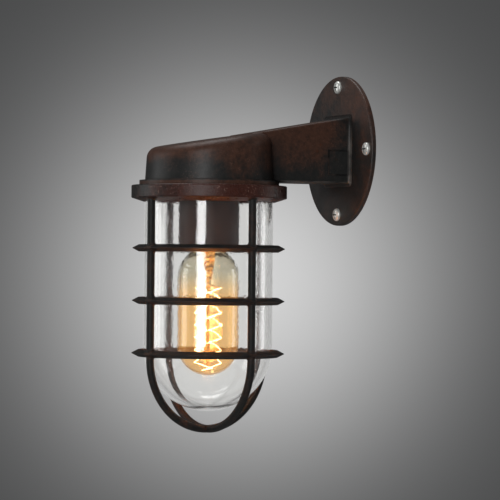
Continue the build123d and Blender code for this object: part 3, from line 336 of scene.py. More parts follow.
class Finish:
    """A node tree of a material or the world, with the few ways in which its nodes are made."""

    def __init__(self, tree):
        self.tree = tree
        tree.nodes.clear()

    def node(self, kind, settings=None, inputs=None, output=0):
        """Add a node of a type: its settings are set first, then the values or links of its sockets."""
        made = self.tree.nodes.new("ShaderNode" + kind)
        for name, value in (settings or {}).items():
            setattr(made, name, value)
        for name, value in (inputs or {}).items():
            if isinstance(value, Channel):
                self.tree.links.new(value.socket, made.inputs[name])
            else:
                made.inputs[name].default_value = value
        return Channel(self, made.outputs[output]) if made.outputs else None

    def math(self, operation, one, two=0.0):
        """A Math node on two values."""
        return self.node("Math", {"operation": operation}, {0: one, 1: two})

    def vector(self, operation, one, two=(0, 0, 0), output="Vector"):
        """A Vector Math node on two vectors."""
        return self.node("VectorMath", {"operation": operation}, {0: one, 1: two}, output)

    def place(self):
        """Object coordinates, in metres in the part's frame."""
        return self.node("TexCoord", output="Object")

    def noise(self, place, scale, detail=3.0, roughness=0.5):
        """Even noise between 0 and 1, with about scale features to the metre."""
        return self.node("TexNoise", None, {
            "Vector": place, "Scale": scale, "Detail": detail, "Roughness": roughness})

    def axis(self, place, name):
        """One coordinate of a place."""
        return self.node("SeparateXYZ", None, {"Vector": place}, name)

    def band(self, value, low, high):
        """Smooth step of a value, from 0 at low to 1 at high, which may be the lesser of the two."""
        return self.node("MapRange", {"interpolation_type": "SMOOTHSTEP"},
                         {"Value": value, "From Min": low, "From Max": high})

    def blend(self, share, one, two):
        """Mix of two colours, all of the second where the share is 1."""
        return self.node("Mix", {"data_type": "RGBA"}, {0: share, 6: one, 7: two}, 2)

    def bump(self, height, distance, strength=1.0):
        """A normal from a height between 0 and 1 that stands for a distance in metres."""
        return self.node("Bump", None, {"Height": height, "Distance": distance, "Strength": strength})

    def edges(self, radius):
        """Mask of outer edges: how far the rounded normal there leans from the face's own normal."""
        rounded = self.node("Bevel", {"samples": 4}, {"Radius": radius})
        own = self.node("NewGeometry", output="Normal")
        agreement = self.vector("DOT_PRODUCT", rounded, own, "Value")
        return self.band(1 - agreement, low=0.02, high=0.22)

    def surface(self, inputs):
        """A Principled shader with these socket values."""
        return self.node("BsdfPrincipled", None, inputs)

    def end(self, shader, kind="OutputMaterial"):
        """Send a shader to the tree's output."""
        self.node(kind, None, {"Surface": shader})


def new_finish(name):
    """An empty material and its node tree."""
    material = bpy.data.materials.new(name)
    material.use_nodes = True
    return material, Finish(material.node_tree)


def tone(red, green, blue):
    """A colour given as it shows on a screen, 0 to 255, as linear light: the screen curve taken back."""
    toe_end = 0.04045
    toe_slope = 12.92
    offset = 0.055
    power = 2.4
    shares = np.array([red, green, blue]) / 255
    linear = np.where(shares <= toe_end, shares / toe_slope, ((shares + offset) / (1 + offset)) ** power)
    return (*linear.tolist(), 1.0)


# Patina: two colours are its dark and its light, two numbers are where a mask begins and where it is full
BROWN = (tone(33, 21, 16), tone(78, 52, 41))
RED_BROWN = (tone(37, 19, 15), tone(70, 39, 32))
SLATE = (tone(19, 20, 20), tone(40, 40, 39))
# Painted shade: a dark tone blended in where shade falls, in hollows and beside parts
PAINTED_SHADE_TONE = tone(9, 9, 9)
WORN_EDGE = tone(86, 58, 45)
# Painted highlight: a light tone blended in where a highlight falls
PAINTED_HIGHLIGHT_TONE = tone(88, 84, 80)
# Light speckles: partly real specks, partly painted glints
SPECKLE_AND_GLINT = tone(122, 96, 86)
NOISE_MIDDLE = 0.5
BROWN_FROM_BROAD = 0.32
BROWN_FROM_PATCHES = 0.44
BROWN_FROM_MOTTLE = 0.24
BROWN_BAND = (0.37, 0.65)
UPRIGHT_STREAKS = (1, 1, 0.12)
STREAK_SHARE = 0.5
EDGE_WIDTH = 0.0011
EDGE_BAND = (0.55, 0.95)
EDGE_SHARE = 0.6
PAINTED_SHADE_SHARE = 0.85
ROUGHNESS_IN_PAINTED_SHADE = 0.4
PAINTED_HIGHLIGHT_SHARE = 0.6
SPECKLE_AND_GLINT_GRAINS = (0.58, 0.68)
SPECKLE_AND_GLINT_PATCHES = (0.45, 0.62)
ROUGH_UNEVENNESS = 0.25
RELIEF_FROM_GRAINS = 0.5
RELIEF_FROM_MOTTLE = 0.2
RELIEF_FROM_PATCHES = 0.3


def patina_finish(name, browns, sheen, rubbing, speckle_and_glint_share, painted_shade=None, painted_highlights=None, rough=0.42,
                  relief=0.0002):
    """Dark slate patina over a reddish brown casting, rubbed brown in patches and worn along the edges.

    Rubbing is a function that adds to the noise of the patches, to place more or less brown. Painted shade
    and painted highlights, where given, are functions for the share of painted shade where shade falls, in
    hollows and beside parts, and of painted highlights. The light speckles are partly real specks and
    partly painted glints. Rough is the middle roughness, and relief is the height of the casting's grain in
    metres.
    """
    material, f = new_finish(name)
    place = f.place()
    broad = f.noise(place, scale=20, detail=2.0)
    patches = f.noise(place, scale=75, detail=6.0, roughness=0.65)
    mottle = f.noise(place, scale=280, detail=4.0, roughness=0.65)
    grains = f.noise(place, scale=1000, roughness=0.6)
    streaks = f.noise(f.vector("MULTIPLY", place, UPRIGHT_STREAKS), scale=700)
    brown_noise = broad * BROWN_FROM_BROAD + patches * BROWN_FROM_PATCHES + mottle * BROWN_FROM_MOTTLE
    rub = f.band(brown_noise + rubbing(f, place), *BROWN_BAND)
    colour = f.blend(rub, f.blend(mottle, *SLATE), f.blend(mottle, *browns))
    worn = f.edges(EDGE_WIDTH) * f.band(patches + streaks * STREAK_SHARE, *EDGE_BAND) * EDGE_SHARE
    uneven = rough + (patches - NOISE_MIDDLE) * ROUGH_UNEVENNESS
    uneven = uneven + (grains - NOISE_MIDDLE) * ROUGH_UNEVENNESS
    # Painted shade: the colour is darkened where shade falls, and the roughness raised there
    if painted_shade:
        shade_share = painted_shade(f, place)
        worn = worn * (1 - shade_share)
        colour = f.blend(shade_share * PAINTED_SHADE_SHARE, colour, PAINTED_SHADE_TONE)
        uneven = uneven + shade_share * ROUGHNESS_IN_PAINTED_SHADE
    colour = f.blend(worn, colour, WORN_EDGE)
    # Painted highlights: lighter where a highlight falls
    if painted_highlights:
        colour = f.blend(painted_highlights(f, place) * PAINTED_HIGHLIGHT_SHARE, colour, PAINTED_HIGHLIGHT_TONE)
    # Light speckles, partly real specks and partly painted glints
    speckles_and_glints = f.band(grains, *SPECKLE_AND_GLINT_GRAINS) * f.band(patches, *SPECKLE_AND_GLINT_PATCHES) * speckle_and_glint_share
    colour = f.blend(speckles_and_glints, colour, SPECKLE_AND_GLINT)
    height = grains * RELIEF_FROM_GRAINS + mottle * RELIEF_FROM_MOTTLE + patches * RELIEF_FROM_PATCHES
    f.end(f.surface({
        "Base Color": colour, "Roughness": uneven, "Specular IOR Level": sheen,
        "Normal": f.bump(height, distance=relief, strength=0.8)}))
    return material


def depth_below_top(f, place):
    """Depth below the casting's sloped top, which rises evenly from the lamp axis towards the wall."""
    along = f.axis(place, "Y") + REACH * MILLIMETRE
    return along * TOP_RISE + HOOD_TOP * MILLIMETRE - f.axis(place, "Z")


# Brown on the casting
BROWN_LEAST_DEPTH = 0.002
BROWN_DEPTH_WANDER = 0.034
BROWN_DEEPER_AT_ARM = 0.034
HOOD_TO_ARM = (-0.138, -0.094)
NEAR_FOOT = (-0.030, -0.010)
BELOW_HOOD = (-0.0252, -0.0258)
TOP_BROWN = 0.26
FOOT_SLATE = 0.2
CASTING_SLATE = 0.12
BELOW_HOOD_BROWN = 0.22


def casting_rubbing(f, place):
    """Brown near the sloped top, over most of the arm and below the hood, dark slate low and at the foot.

    The brown ends at a depth below the top that wanders with a broad noise and grows towards the arm.
    """
    y = f.axis(place, "Y")
    wander = f.noise(place, scale=17, detail=1.0) * BROWN_DEPTH_WANDER
    deepest = f.band(y, *HOOD_TO_ARM) * BROWN_DEEPER_AT_ARM + wander + BROWN_LEAST_DEPTH
    near_top = f.band(depth_below_top(f, place), deepest, BROWN_LEAST_DEPTH)
    below_hood = f.band(f.axis(place, "Z"), *BELOW_HOOD) * BELOW_HOOD_BROWN
    return near_top * TOP_BROWN - f.band(y, *NEAR_FOOT) * FOOT_SLATE - CASTING_SLATE + below_hood


# Painted highlights on the casting
FOOT_RIM = (-0.0068, -0.0044)
FOOT_SIDE = (0.0205, 0.0212)
FOOT_SIDE_TOP = (0.022, 0.002)
ARM_EDGE_TOP = (-0.0233, -0.0241)
ARM_EDGE_BOTTOM = (-0.0248, -0.0246)
ARM_START = (-0.064, -0.056)


def casting_painted_highlights(f, place):
    """Painted highlights on the rim of the arm's foot on its near side and on the arm's lower edges, in
    places.
    """
    y = f.axis(place, "Y")
    z = f.axis(place, "Z")
    side = f.band(f.axis(place, "X"), *FOOT_SIDE) * f.band(z, *FOOT_SIDE_TOP)
    rim = f.band(y, *FOOT_RIM) * side
    low_edge = f.band(z, *ARM_EDGE_TOP) * f.band(z, *ARM_EDGE_BOTTOM) * f.band(y, *ARM_START)
    return (rim + low_edge) * f.band(f.noise(place, scale=120), low=0.2, high=0.6)


# Painted shade on the casting
PAD_LINE = (0.0011, 0.0003)
PAD_FACE = (0.004, 0.002)
CORNER_RADIUS = (0.060, 0.047)
CORNER_ALONG = (-0.078, -0.066)
CORNER_DEPTH = (0.003, 0.012)
CORNER_SHADE = 0.6
LEDGE_TOP = (-0.0240, -0.0246)
LEDGE_BOTTOM = (-0.0252, -0.0247)
LEDGE_ALONG = (-0.056, -0.060)
LEDGE_SHADE = 0.5
FOOT_TOP_ALONG = (-0.016, -0.006)
FOOT_TOP_DEPTH = (0.008, 0.001)
FOOT_TOP_SHADE = 0.8


def casting_painted_shade(f, place):
    """Painted shade: a broken line round the arm's square pad, and three hollows of the casting.

    The line is near the pad's border, measured as the greater of the two distances past it. The hollows are
    the corner between the hood and the arm, where the distance from the lamp axis is little more than the
    hood's radius, the ledge under the hood, and the top of the arm beside the plate.
    """
    middle = Vector((ARM_SIDE, (PAD_FRONT + PAD_BACK) / 2, (PAD_BOTTOM + PAD_TOP) / 2)) * MILLIMETRE
    half = (PAD_TOP - PAD_BOTTOM) / 2 * MILLIMETRE
    away = f.vector("ABSOLUTE", f.vector("SUBTRACT", place, middle))
    outside = f.math("MAXIMUM", f.axis(away, "Y"), f.axis(away, "Z")) - half
    line = f.band(f.math("ABSOLUTE", outside), *PAD_LINE) * f.band(f.axis(away, "X"), *PAD_FACE)
    broken_line = line * f.band(f.noise(place, scale=110, detail=2.0), low=0.3, high=0.6)
    x = f.axis(place, "X")
    y = f.axis(place, "Y")
    z = f.axis(place, "Z")
    along = y + REACH * MILLIMETRE
    from_axis = f.math("SQRT", x * x + along * along)
    depth = depth_below_top(f, place)
    corner = f.band(from_axis, *CORNER_RADIUS) * f.band(y, *CORNER_ALONG) * f.band(depth, *CORNER_DEPTH)
    ledge = f.band(z, *LEDGE_TOP) * f.band(z, *LEDGE_BOTTOM) * f.band(y, *LEDGE_ALONG)
    foot_top = f.band(y, *FOOT_TOP_ALONG) * f.band(depth, *FOOT_TOP_DEPTH)
    return broken_line + corner * CORNER_SHADE + ledge * LEDGE_SHADE + foot_top * FOOT_TOP_SHADE


# Painted shade and brown on the plate
PLATE_FOOT_SIDE = 0.0234
PLATE_FOOT_BOTTOM = -0.027
PLATE_FRONT = (-0.0030, -0.0034)
PLATE_SHADE_FADE = (0.018, 0.001)
PLATE_SHADE_TOP = (0.026, 0.012)
PLATE_SHADE = 0.85
PLATE_TOP = (0.0, 0.045)
PLATE_TOP_BROWN_AND_SHEEN = 0.14
PLATE_NEAR_SIDE = (-0.03, 0.05)
PLATE_NEAR_SIDE_BROWN = 0.12
PLATE_SLATE = 0.16


def plate_painted_shade(f, place):
    """Painted shadow on the plate round the arm's foot, fading with the distance from its sides and bottom.
    """
    z = f.axis(place, "Z")
    beside = f.math("ABSOLUTE", f.axis(place, "X")) - PLATE_FOOT_SIDE
    outside = f.math("MAXIMUM", beside, PLATE_FOOT_BOTTOM - z)
    front = f.band(f.axis(place, "Y"), *PLATE_FRONT)
    return f.band(outside, *PLATE_SHADE_FADE) * f.band(z, *PLATE_SHADE_TOP) * front * PLATE_SHADE


def plate_rubbing(f, place):
    """More brown towards the arm's near side and the plate's top, where the lighter brown is also painted
    sheen.
    """
    # The brown at the top is partly patina and partly painted sheen
    top = f.band(f.axis(place, "Z"), *PLATE_TOP) * PLATE_TOP_BROWN_AND_SHEEN
    near_side = f.band(f.axis(place, "X"), *PLATE_NEAR_SIDE) * PLATE_NEAR_SIDE_BROWN
    return top + near_side - PLATE_SLATE


# Brown on the collar and the guard
GUARD_NOISE_SHARE = 0.1
COLLAR_BROWN = 0.06
COLLAR_FRONT = (-0.140, -0.160)
COLLAR_FRONT_SLATE = 0.16
GUARD_SLATE = 0.15


def collar_rubbing(f, place):
    """Brown nearly all over, with more slate towards the front."""
    front = f.band(f.axis(place, "Y"), *COLLAR_FRONT) * COLLAR_FRONT_SLATE
    return f.noise(place, scale=40) * GUARD_NOISE_SHARE + COLLAR_BROWN - front


def guard_rubbing(f, place):
    """Mostly dark, with brown in a few places."""
    return f.noise(place, scale=60) * GUARD_NOISE_SHARE - GUARD_SLATE


# Bare metals and the recess of the wall screws
RECESS_SHADE = tone(40, 42, 38)
RECESS_SHARE = 0.92
RECESS_DEPTH = (0.00005, 0.0003)
RECESS_REACH = (0.7, 0.55)
HEAD_START = 0.0004
ALONG_SCREW = (1, 0.2, 1)
STEEL_ROUGHNESS = 0.28
STEEL_DULLING = 0.14
TARNISH_ROUGHNESS = 0.2
MARK_HEIGHT = 0.00004
MARK_STRENGTH = 0.4


def screw_recess(f, place):
    """The sunk cross of the wall screws: the depth of a point below the dome of its screw's head.

    The four screws stand on a circle at its level and upright points. The dome's height above its edge is
    that of an ellipse: the square root of one minus the square of the distance from the screw's axis over
    the head's radius.
    """
    away = f.vector("ABSOLUTE", place)
    x = f.axis(away, "X")
    z = f.axis(away, "Z")
    outward = f.math("MAXIMUM", x, z) - WALL_SCREW_CIRCLE * MILLIMETRE
    sideways = f.math("MINIMUM", x, z)
    share = (outward * outward + sideways * sideways) / (WALL_SCREW_HEAD_RADIUS * MILLIMETRE) ** 2
    dome = f.math("SQRT", f.math("MAXIMUM", 1 - share, 0.0)) * (WALL_SCREW_DOME * MILLIMETRE)
    y = f.axis(place, "Y")
    depth = dome + y + WALL_SCREW_EDGE_TOP * MILLIMETRE
    plate_front = -PLATE_THICKNESS * MILLIMETRE
    in_head = f.band(y, plate_front, plate_front - HEAD_START)
    return f.band(depth, *RECESS_DEPTH) * f.band(share, *RECESS_REACH) * in_head


def steel_finish(name, dark, light, metal, recess=None):
    """Bright zinc-plated steel with fine turning marks, slight dulling and shade in a screw's recess."""
    material, f = new_finish(name)
    place = f.place()
    dull = f.noise(place, scale=260, detail=4.0)
    marks = f.noise(f.vector("MULTIPLY", place, ALONG_SCREW), scale=2600, detail=2.0)
    colour = f.blend(dull, dark, light)
    if recess:
        colour = f.blend(recess(f, place) * RECESS_SHARE, colour, RECESS_SHADE)
    f.end(f.surface({
        "Base Color": colour, "Metallic": metal, "Roughness": STEEL_ROUGHNESS + dull * STEEL_DULLING,
        "Normal": f.bump(marks, MARK_HEIGHT, MARK_STRENGTH)}))
    return material


def metal_finish(name, dark, light, low_rough):
    """Plain coloured metal with a slightly uneven tarnish."""
    material, f = new_finish(name)
    place = f.place()
    tarnish = f.noise(place, scale=180, detail=4.0, roughness=0.6)
    marks = f.noise(place, scale=1800, detail=2.0)
    f.end(f.surface({
        "Base Color": f.blend(tarnish, dark, light), "Metallic": 1.0,
        "Roughness": low_rough + tarnish * TARNISH_ROUGHNESS,
        "Normal": f.bump(marks, MARK_HEIGHT, MARK_STRENGTH)}))
    return material


# Coats, mouldings and wire covers: stripes are in radians to the metre
COAT_UNEVENNESS = 0.15
STRIPES_ALONG = 900
STRIPES_AROUND = 2200
EARTH_GREEN = tone(46, 120, 52)
EARTH_YELLOW = tone(222, 196, 40)
EARTH_ROUGHNESS = 0.38
STRIPE_ROUGHNESS = 0.05


def coated_finish(name, dark, light, low_rough, grain_scale, grain_height, sheen=0.5):
    """An even coat, moulding or glaze with a slight mottle and its own grain."""
    material, f = new_finish(name)
    place = f.place()
    mottle = f.noise(place, scale=120, detail=4.0, roughness=0.6)
    grain = f.noise(place, grain_scale)
    f.end(f.surface({
        "Base Color": f.blend(mottle, dark, light), "Roughness": low_rough + mottle * COAT_UNEVENNESS,
        "Specular IOR Level": sheen, "Normal": f.bump(grain, grain_height, strength=0.6)}))
    return material


def earth_finish():
    """Green wire cover with yellow stripes that wind along it."""
    material, f = new_finish("wire_earth")
    place = f.place()
    along = f.axis(place, "Y") * STRIPES_ALONG
    around_wire = f.axis(place, "X") * STRIPES_AROUND
    stripe = f.band(f.math("SINE", along + around_wire), low=0.0, high=0.25)
    f.end(f.surface({
        "Base Color": f.blend(stripe, EARTH_GREEN, EARTH_YELLOW),
        "Roughness": EARTH_ROUGHNESS + stripe * STRIPE_ROUGHNESS,
        "Normal": f.bump(f.noise(place, scale=1500), distance=0.00003, strength=0.5)}))
    return material


# Glass and glow
GLASS_INDEX = 1.5
JAR_TINT = (0.985, 0.985, 0.98, 1)
JAR_SHADOW = (0.93, 0.93, 0.92, 1)
JAR_RIPPLE_STRETCH = (1, 1, 1.6)
JAR_RIPPLE_SHARE = 0.3
JAR_GRAIN_SHARE = 0.55
JAR_DOME = (-0.152, -0.140)
JAR_DOME_SHARE = 0.15
BULB_DOWN = (-0.088, -0.114)
BULB_TINTS = ((0.86, 0.83, 0.73, 1), (0.96, 0.80, 0.54, 1))
BULB_GLOWS = ((0.004, 0.003, 0.001, 1), (0.062, 0.028, 0.007, 1))
BULB_SHADOW = (1.0, 0.95, 0.84, 1)
STEM_CRACKLE = (0.49, 0.55)
STEM_TINTS = ((0.44, 0.21, 0.06, 1), (1.0, 0.86, 0.58, 1))
STEM_GLOWS = ((0.0, 0.0, 0.0, 1), (0.62, 0.29, 0.085, 1))
STEM_SHADOW = (1.0, 0.9, 0.7, 1)
FILAMENT_COLD = (0.02, 0.015, 0.01, 1)
FILAMENT_GLOWS = ((1.0, 0.76, 0.44, 1), (1.0, 0.86, 0.6, 1))


def glass_shader(f, inputs, clear):
    """Glass for sight, and a plain tint for the lamps' shadow rays, so that light reaches the inside."""
    glass = f.surface({"Transmission Weight": 1.0, "IOR": GLASS_INDEX, **inputs})
    passing = f.node("BsdfTransparent", None, {"Color": clear})
    shadow = f.node("LightPath", output="Is Shadow Ray")
    return f.node("MixShader", None, {0: shadow, 1: glass, 2: passing})


def jar_finish():
    """Thick clear pressed glass with the faint ripple of its mould, nearly smooth in its round bottom."""
    material, f = new_finish("jar_glass")
    place = f.place()
    ripple = f.noise(f.vector("MULTIPLY", place, JAR_RIPPLE_STRETCH), scale=130, detail=2.0)
    grain = f.noise(place, scale=560, detail=2.0)
    upper = f.band(f.axis(place, "Z"), *JAR_DOME) * (1 - JAR_DOME_SHARE) + JAR_DOME_SHARE
    height = (ripple * JAR_RIPPLE_SHARE + grain * JAR_GRAIN_SHARE) * upper
    f.end(glass_shader(f, {
        "Base Color": JAR_TINT, "Roughness": 0.0, "Normal": f.bump(height, distance=0.0001)}, JAR_SHADOW))
    return material


def bulb_finish():
    """Thin warm glass filled with the filament's glow, strongest beside the filament."""
    material, f = new_finish("bulb_glass")
    place = f.place()
    down = f.band(f.axis(place, "Z"), *BULB_DOWN)
    waviness = f.noise(place, scale=90, detail=2.0)
    f.end(glass_shader(f, {
        "Base Color": f.blend(down, *BULB_TINTS), "Roughness": 0.0,
        "Emission Color": f.blend(down, *BULB_GLOWS), "Emission Strength": 1.0,
        "Normal": f.bump(waviness, distance=0.00004, strength=0.5)}, BULB_SHADOW))
    return material


def stem_finish():
    """The bulb's inner glass, crazed and lit orange by the filament below it."""
    material, f = new_finish("stem_glass")
    crazing = f.noise(f.place(), scale=700, roughness=0.6)
    cracks = f.band(crazing, *STEM_CRACKLE)
    f.end(glass_shader(f, {
        "Base Color": f.blend(cracks, *STEM_TINTS), "Roughness": 0.05,
        "Emission Color": f.blend(cracks, *STEM_GLOWS), "Emission Strength": 1.0,
        "Normal": f.bump(crazing, distance=0.0003)}, STEM_SHADOW))
    return material


def filament_finish():
    """White-hot wire, a little cooler in places."""
    material, f = new_finish("filament_glow")
    heat = f.noise(f.place(), scale=260, detail=2.0)
    f.end(f.surface({
        "Base Color": FILAMENT_COLD, "Roughness": 0.6, "Emission Strength": 6.5,
        "Emission Color": f.blend(heat, *FILAMENT_GLOWS)}))
    return material


# Pieces that stand for nodes of the frame or add to them

def jar_outline():
    """Half section of the jar from the middle of its outer bottom, over the rim, to the inner bottom."""
    centre = (0.0, JAR_BOTTOM + JAR_RADIUS)
    inner = JAR_RADIUS - JAR_WALL
    lip = JAR_LIP_ROUND
    rim = JAR_FLANGE_RADIUS - lip
    return np.concatenate([
        arc(centre, JAR_RADIUS, JAR_POLE, 0, JAR_END_POINTS),
        run((JAR_RADIUS, centre[1]), (JAR_RADIUS, JAR_FLANGE_BOTTOM - lip), JAR_SIDE_POINTS),
        arc((JAR_RADIUS + lip, JAR_FLANGE_BOTTOM - lip), lip, 180, 90, JAR_LIP_POINTS),
        arc((rim, JAR_FLANGE_BOTTOM + lip), lip, -90, 0, JAR_LIP_POINTS),
        arc((rim, JAR_TOP - lip), lip, 0, 90, JAR_LIP_POINTS),
        arc((inner + lip, JAR_TOP - lip), lip, 90, 180, JAR_LIP_POINTS),
        run((inner, JAR_TOP - lip), (inner, centre[1]), JAR_SIDE_POINTS),
        arc(centre, inner, 0, JAR_POLE, JAR_END_POINTS)])


def glass_jar(finish):
    """The jar: its outline turned about the lamp axis, with a wave of a few hundredths of a millimetre.

    The wave in the radius is a sum of sines of turn and height, and fades out at the flange and the poles.
    """
    outline = jar_outline()
    turn = around(JAR_COLUMNS)[None, :]
    radius = outline[:, :1]
    height = outline[:, 1:]
    wave = 0.0
    for size, count, length, start in JAR_WAVES:
        wave = wave + size * np.sin(count * turn + height / length + start)
    below_flange = np.clip((JAR_FLANGE_BOTTOM - JAR_STILL_LENGTH - height) / JAR_WAVE_GROWTH, 0, 1)
    fade = below_flange * np.clip(radius / JAR_WAVE_RADIUS, 0, 1)
    grid = on_lamp_axis(radius + wave * fade, turn, height)
    piece = make_piece("jar_of_glass", [closed_surface(grid, False)], finish, "glass")
    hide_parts("glass_jar")


def bulb_outline():
    """Half section of the bulb from its outer bottom to the neck's rim and back down inside."""
    lower = (0.0, BULB_BOTTOM + BULB_RADIUS)
    upper = (0.0, BULB_SHOULDER_CENTRE)
    inner = BULB_RADIUS - BULB_WALL
    neck_inner = BULB_NECK_RADIUS - BULB_WALL
    outer_turn = math.degrees(math.acos(BULB_NECK_RADIUS / BULB_RADIUS))
    inner_turn = math.degrees(math.acos(neck_inner / inner))
    outer_neck = BULB_SHOULDER_CENTRE + BULB_RADIUS * math.sin(math.radians(outer_turn))
    inner_neck = BULB_SHOULDER_CENTRE + inner * math.sin(math.radians(inner_turn))
    lip = (BULB_NECK_RADIUS - BULB_WALL / 2, BULB_NECK_TOP - BULB_WALL / 2)
    return np.concatenate([
        arc(lower, BULB_RADIUS, BULB_POLE, 0, BULB_END_POINTS),
        run((BULB_RADIUS, lower[1]), (BULB_RADIUS, upper[1]), BULB_SIDE_POINTS),
        arc(upper, BULB_RADIUS, 0, outer_turn, BULB_SHOULDER_POINTS),
        run((BULB_NECK_RADIUS, outer_neck), (BULB_NECK_RADIUS, lip[1]), BULB_NECK_POINTS),
        arc(lip, BULB_WALL / 2, 0, 180, BULB_RIM_POINTS),
        run((neck_inner, lip[1]), (neck_inner, inner_neck), BULB_NECK_POINTS),
        arc(upper, inner, inner_turn, 0, BULB_SHOULDER_POINTS),
        run((inner, upper[1]), (inner, lower[1]), BULB_SIDE_POINTS),
        arc(lower, inner, 0, BULB_POLE, BULB_END_POINTS)])


def bulb_glass(finish):
    """The bulb's glass: its outline turned about the lamp axis."""
    outline = bulb_outline()
    grid = on_lamp_axis(outline[:, :1], around(BULB_COLUMNS)[None, :], outline[:, 1:])
    piece = make_piece("bulb_of_glass", [closed_surface(grid, False)], finish, "bulb")
    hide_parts("bulb_envelope")


def filament_wire(finish):
    """The glowing wire: down one square spiral, across below the stem and up the opposite spiral.

    Both spirals fall evenly with the turn. With c and s the cosine and sine of the turn from the middle of
    a side, the radius is the one at which the sum of a high power of the sizes of c times it and s times it
    is constant. The crossing is a straight run between the lowest corners.
    """
    side = np.linspace(0, FILAMENT_SIDES, FILAMENT_SIDES * FILAMENT_SIDE_POINTS + 1)
    flat = (side + 0.5) * math.pi / 2
    power = FILAMENT_SQUARENESS
    square = (np.abs(np.cos(flat)) ** power + np.abs(np.sin(flat)) ** power) ** (-1 / power)
    radius = FILAMENT_RADIUS * square / square[0]
    turn = math.radians(FILAMENT_START_TURN) - side * math.pi / 2
    height = FILAMENT_TOP - FILAMENT_TURN_DROP / 4 * side
    down = on_lamp_axis(radius, turn, height)
    up = on_lamp_axis(radius, turn + math.pi, height)[::-1]
    path = np.concatenate([down, run(down[-1], up[0], FILAMENT_CROSSING_POINTS), up])
    grid = tube_along(path, FILAMENT_WIRE_RADIUS, FILAMENT_WIRE_COLUMNS)
    piece = make_piece("glowing_filament", [closed_surface(grid, False)], finish, "bulb")
    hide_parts("filament")


def bulb_cap(finish):
    """The bulb's screw cap: a thin shell whose wall follows a rolled thread.

    The radius falls below the crest by half the thread's depth times one minus the cosine of the turn minus
    the height in pitches. The thread fades out at the plain ends, and the crest draws in at the crimp.
    """
    turn = around(CAP_COLUMNS)[None, :]
    height = np.linspace(CAP_BOTTOM, CAP_TOP, CAP_ROWS)[:, None]
    below_crimp = CAP_TOP - CAP_CRIMP - height
    fade = np.clip((height - CAP_BOTTOM) / CAP_PLAIN, 0, 1) * np.clip(below_crimp / CAP_PLAIN, 0, 1)
    phase = turn - 2 * math.pi * height / CAP_THREAD_PITCH
    crest = CAP_RADIUS - (CAP_RADIUS - CAP_TOP_RADIUS) * np.clip(-below_crimp / CAP_CRIMP, 0, 1)
    outer = crest - fade * CAP_THREAD_DEPTH * (1 - np.cos(phase)) / 2
    outer_grid = on_lamp_axis(outer, turn, height)
    inner_grid = on_lamp_axis(outer - CAP_WALL, turn, height)[::-1]
    grid = np.concatenate([outer_grid, inner_grid])
    piece = make_piece("threaded_bulb_cap", [closed_surface(grid, True)], finish, "bulb")
    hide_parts("bulb_cap")


def ring_top(radius):
    """Height of a guard ring's upper face over its middle: flat to the shoulder, then down to the tip."""
    half = RING_THICKNESS / 2
    slope = (half - RING_TIP_FLAT / 2) / (RING_TIP - RING_SHOULDER)
    return half - np.clip(radius - RING_SHOULDER, 0, None) * slope


def collar_underside(radius):
    """Depth of the collar's conical underside below its outer lower edge."""
    share = (COLLAR_RADIUS - radius) / (COLLAR_RADIUS - COLLAR_RIM_RADIUS)
    return COLLAR_UNDERSIDE_DROP * np.clip(share, 0, 1)


def braze(rod_turn, seat, side, foot, rise):
    """One fillet of braze round a rod where it leaves a face, as a closed band.

    Round the rod the foot lies foot away from its middle, drawn in where that would pass the ring's edges.
    From the foot the fillet climbs to the rod along a quarter of a rounded hollow: distance and height
    follow one minus the sine and one minus the cosine of the same angle. The band closes inside the rod,
    and is turned about the lamp axis to the rod's place.
    """
    around_rod = around(BRAZE_COLUMNS)[None, :]
    inner_limit = RING_INNER + BRAZE_INNER_MARGIN
    outer_limit = RING_TIP - BRAZE_OUTER_MARGIN
    along = np.cos(around_rod)
    across = np.sin(around_rod)
    reach = np.full_like(around_rod, foot)
    for _ in range(BRAZE_PASSES):
        radius = np.hypot(ROD_CIRCLE + reach * along, reach * across)
        reach = np.where(radius > outer_limit, reach - (radius - outer_limit), reach)
        reach = np.where(radius < inner_limit, reach - (inner_limit - radius), reach)
    reach = np.maximum(reach, ROD_RADIUS + BRAZE_LEAST_FOOT)
    angle = np.linspace(0, math.pi / 2, BRAZE_ROWS)[:, None]
    distance = ROD_RADIUS + (reach - ROD_RADIUS) * (1 - np.sin(angle))
    climb = rise * (1 - np.cos(angle))
    face = seat(np.hypot(ROD_CIRCLE + distance * along, distance * across))
    height = face + climb - BRAZE_SUNK
    inside = np.full_like(around_rod, ROD_RADIUS - BRAZE_ROOT_IN_ROD)
    inner_face = seat(np.hypot(ROD_CIRCLE + inside * along, inside * across))
    distance = np.concatenate([distance, inside, inside])
    height = np.concatenate([height, inner_face + rise * BRAZE_ROOT_TOP, inner_face - BRAZE_ROOT_DEPTH])
    x = ROD_CIRCLE + distance * along
    y = distance * across
    turn = math.radians(rod_turn)
    return np.stack([x * math.cos(turn) - y * math.sin(turn),
                     x * math.sin(turn) + y * math.cos(turn) - REACH,
                     side * height], axis=-1)


def guard_braze(finish):
    """Braze fillets above and below each ring at each rod, and under the collar."""
    surfaces = []
    for rod in range(ROD_COUNT):
        rod_turn = ROD_TURN + 360 / ROD_COUNT * rod
        for height in RING_HEIGHTS:
            for side, fillet in ((1, BRAZE_ABOVE_RING), (-1, BRAZE_BELOW_RING)):
                grid = braze(rod_turn, ring_top, side, *fillet)
                surfaces.append(closed_surface(grid + np.array([0, 0, height]), True))
        grid = braze(rod_turn, collar_underside, -1, *BRAZE_UNDER_COLLAR)
        surfaces.append(closed_surface(grid + np.array([0, 0, COLLAR_BOTTOM]), True))
    make_piece("guard_braze", surfaces, finish, "guard")


